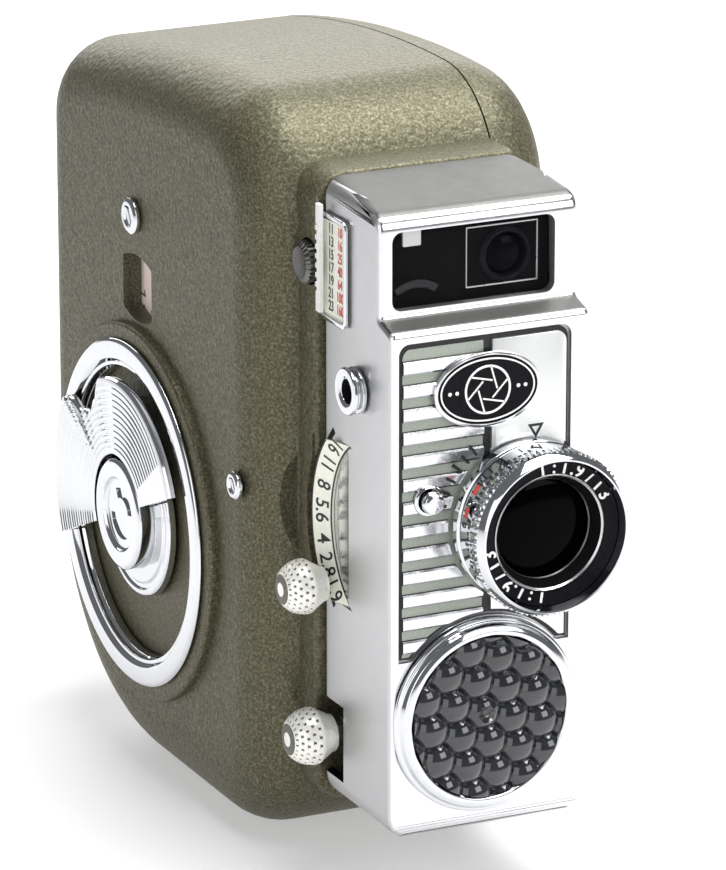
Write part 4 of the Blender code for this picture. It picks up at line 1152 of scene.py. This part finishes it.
def make_film_speed():
    """The film speed window with its two columns of figures, the rack beside it and the wheel that moves the rack."""
    low, high = low_corner("film_speed_frame"), high_corner("film_speed_frame")
    outer = rectangle((low.y, low.z), (high.y, high.z), 1.4)
    opening = rectangle((low.y + 0.8, low.z + 0.9), (high.y - 0.6, high.z - 0.9), 0.8)
    frame_ring = slab("speed_frame", "YZ", [outer, opening], low.x, high.x)
    piece(bevel(frame_ring, 0.18, 2), "chrome", "camera", "chrome", "film_speed_frame")
    face = rectangle((low.y + 0.7, low.z + 0.8), (high.y - 0.5, high.z - 0.8), 0.8)
    piece(slab("speed_plate", "YZ", [face], -16.5, -16.2), "scale", "camera", "cream_metal")
    for name, material, y, stretch, column in (
        ("speed_figures_black", "ink_and_painted_reflection", -54.4, 0.8, ("11", "13", "15", "17", "19", "21", "23")),
        ("speed_figures_red", "red", -57.6, 0.7, ("10", "16", "25", "40", "64", "100", "160")),
    ):
        figures = []
        for row, figure in enumerate(column):
            place = (-16.52, y, high.z - 2.4 - row * 2.05)
            figures.append(text(figure, 2.3, "side", place, 0, 0.05, stretch, weight=0.01))
        piece(merge(name, figures), material, "camera", "cream_metal")

    front, root, foot = -53.1, -52.1, 92.2
    rack = [(front, foot), (root + 0.4, foot), (root + 0.4, foot + 3.2)]
    for tooth in range(7):
        start = foot + 3.2 + tooth * 1.5
        rack += [(root, start), (root, start + 0.6), (root + 0.55, start + 0.7), (root + 0.55, start + 1.4),
                 (root, start + 1.5)]
    rack += [(root, foot + 13.9), (root + 0.4, foot + 13.9), (root + 0.4, foot + 17.1), (front, foot + 17.1)]
    strip = slab("speed_rack", "YZ", [rack], -17.9, -17.25)
    piece(strip, "white", "speed_rack", "cream_metal", "film_speed_rack")

    def wheel_knurl(index, angle):
        return -0.35 if index in (3, 4) and (angle * 24 / (2 * math.pi)) % 1 < 0.5 else 0.0

    profile = [(0, -18.8), (2.0, -18.8), (2.5, -18.9), (3.35, -18.4), (3.4, -17.3), (3.2, -17.25), (1.0, -17.25),
               (1.0, -14.0), (0, -14.0)]
    wheel = turned("speed_wheel", "X", axis_of("film_speed_wheel", "X"), profile, 144, wheel_knurl)
    piece(wheel, "dark_steel", "speed_wheel", "steel", "film_speed_wheel")


# ---------------------------------------------------------------- rear, door and base

def make_rear():
    axis = axis_of("door_latch", "X")
    disc = [(0, 25.0), (2.0, 25.0), (2.0, 27.6), (11.7, 27.6), (11.7, 28.6), (11.0, 29.0), (9.6, 29.0), (9.4, 28.7),
            (9.0, 28.7), (8.8, 29.0), (0, 29.0)]
    plate = turned("latch_plate", "X", axis, soften(disc, 0.12, closed=False), 120)
    y, z = axis
    grip = slab("grip", "YZ", [rectangle((y - 10.0, z - 1.6), (y + 10.0, z + 1.6), 1.5)], 28.1, 31.5)
    join(plate, bevel(grip, 0.45, 3, 60))
    piece(plate, "chrome", "latch", "chrome", "door_latch")

    collar = [(3.9, 40.5), (5.0, 40.5), (5.0, 41.8), (4.7, 42.1), (5.0, 42.4), (5.0, 46.2), (4.6, 46.8), (4.1, 46.8),
              (3.9, 46.0)]
    cup = turned("eyepiece_cup", "Y", axis_of("finder_eyepiece", "Y"), soften(collar, 0.15), 96)
    piece(cup, "plastic", "camera", "black_plastic", "finder_eyepiece")

    thread = [(2.9, 0.6)]
    for turn in range(9):
        thread += [(2.9, 0.7 + turn * 0.45), (3.15, 0.92 + turn * 0.45)]
    thread += [(2.9, 4.9), (6.0, 4.9), (6.0, 0.8), (5.6, 0.4), (3.3, 0.4)]
    bush = turned("tripod_socket", "Z", axis_of("tripod_bush", "Z"), thread, 96)
    piece(bush, "chrome", "camera", "steel", "tripod_bush")


CAD_FINISHES = {
    "steel": [
        "latch_bar", "spool_spring", "winding_arbor", "ratchet_pawl", "drive_shaft", "governor_rotor", "mainspring",
        "film_gate", "pressure_plate", "pulldown_claw", "roller_upper", "roller_lower", "take_up_spindle",
        "aperture_lever", "release_lever",
    ],
    "brass": ["spring_barrel", "intermediate_gear", "governor_cup"],
    "plate": ["mechanism_plate"],
    "black_metal": [
        "shutter_disc", "supply_spool", "take_up_spool", "selenium_cell", "iris_ring", "finder_tube",
        "meter_movement", "meter_needle",
    ],
    "glass": ["rear_element", "eyepiece_lens"],
}


def finish_nodes():
    for name, nodes in CAD_FINISHES.items():
        for node in nodes:
            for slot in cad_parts[node].material_slots:
                slot.material = FINISHES[name]


# ---------------------------------------------------------------- studio

FOCAL_LENGTH = 247.94483        # mm, on a frame 36 mm tall
CAMERA_PLACE = (-388.6, -852.5, 352.2)
CAMERA_VIEW = (0.4075, 0.8616, -0.3025)

# name, place, size and power: metres and watts
LAMPS = (
    ("top", (0.25, -0.15, 1.1), (0.9, 0.9), 26),
    ("back", (0.45, 1.15, 0.7), (1.5, 0.9), 14),
    ("front", (0.55, -1.1, 0.6), (0.7, 0.6), 5),
    ("left", (-1.0, -0.75, 0.45), (1.1, 0.9), 4.6),
)


def area(name, place, size, power):
    """A rectangular lamp that points at the middle of the object."""
    light = bpy.data.lights.new(name, "AREA")
    light.shape = "RECTANGLE"
    light.size, light.size_y = size
    light.energy = power
    obj = new_object(name, light)
    obj.location = place
    middle = Vector((0, -0.02, 0.06))
    obj.rotation_euler = (middle - obj.location).to_track_quat("-Z", "Y").to_euler()


def make_studio():
    scene = bpy.context.scene
    camera = new_object("camera", bpy.data.cameras.new("camera"))
    camera.data.lens = FOCAL_LENGTH
    camera.data.sensor_width = 36
    camera.data.clip_start = 0.01
    camera.location = Vector(CAMERA_PLACE) * UNIT
    forward = Vector(CAMERA_VIEW).normalized()
    right = forward.cross(Z).normalized()
    up = right.cross(forward)
    camera.matrix_world = Matrix.Translation(camera.location) @ Matrix((right, up, -forward)).transposed().to_4x4()
    scene.camera = camera

    floor_material, graph, shader = tree("studio_floor")
    texture = noise(graph, 12, 3.0)
    tint = ramp(graph, texture, "Fac", [(0.3, (0.46, 0.46, 0.462)), (0.7, (0.48, 0.48, 0.482))])
    link(graph, tint, "Color", shader, "Base Color")
    shader.inputs["Roughness"].default_value = 0.7
    shader.inputs["Emission Color"].default_value = (1, 1, 1, 1)
    shader.inputs["Emission Strength"].default_value = 0.42
    solid = bmesh.new()
    bmesh.ops.create_grid(solid, x_segments=8, y_segments=8, size=4.0)
    floor = from_bmesh("floor", solid)
    floor.location.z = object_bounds()[0][2]
    floor.data.materials.append(floor_material)

    world = bpy.data.worlds.new("studio")
    world.use_nodes = True
    background = world.node_tree.nodes["Background"]
    background.inputs["Color"].default_value = (0.93, 0.95, 1.0, 1)
    background.inputs["Strength"].default_value = 0.18
    scene.world = world
    for lamp in LAMPS:
        area(*lamp)
    scene.view_settings.view_transform = "Standard"


FINISHES = make_finishes()
make_body()
make_winder()
make_side_details()
make_housing()
make_panel()
make_badge()
make_window()
make_lens()
make_cell()
make_controls()
make_rear()
finish_nodes()
make_studio()
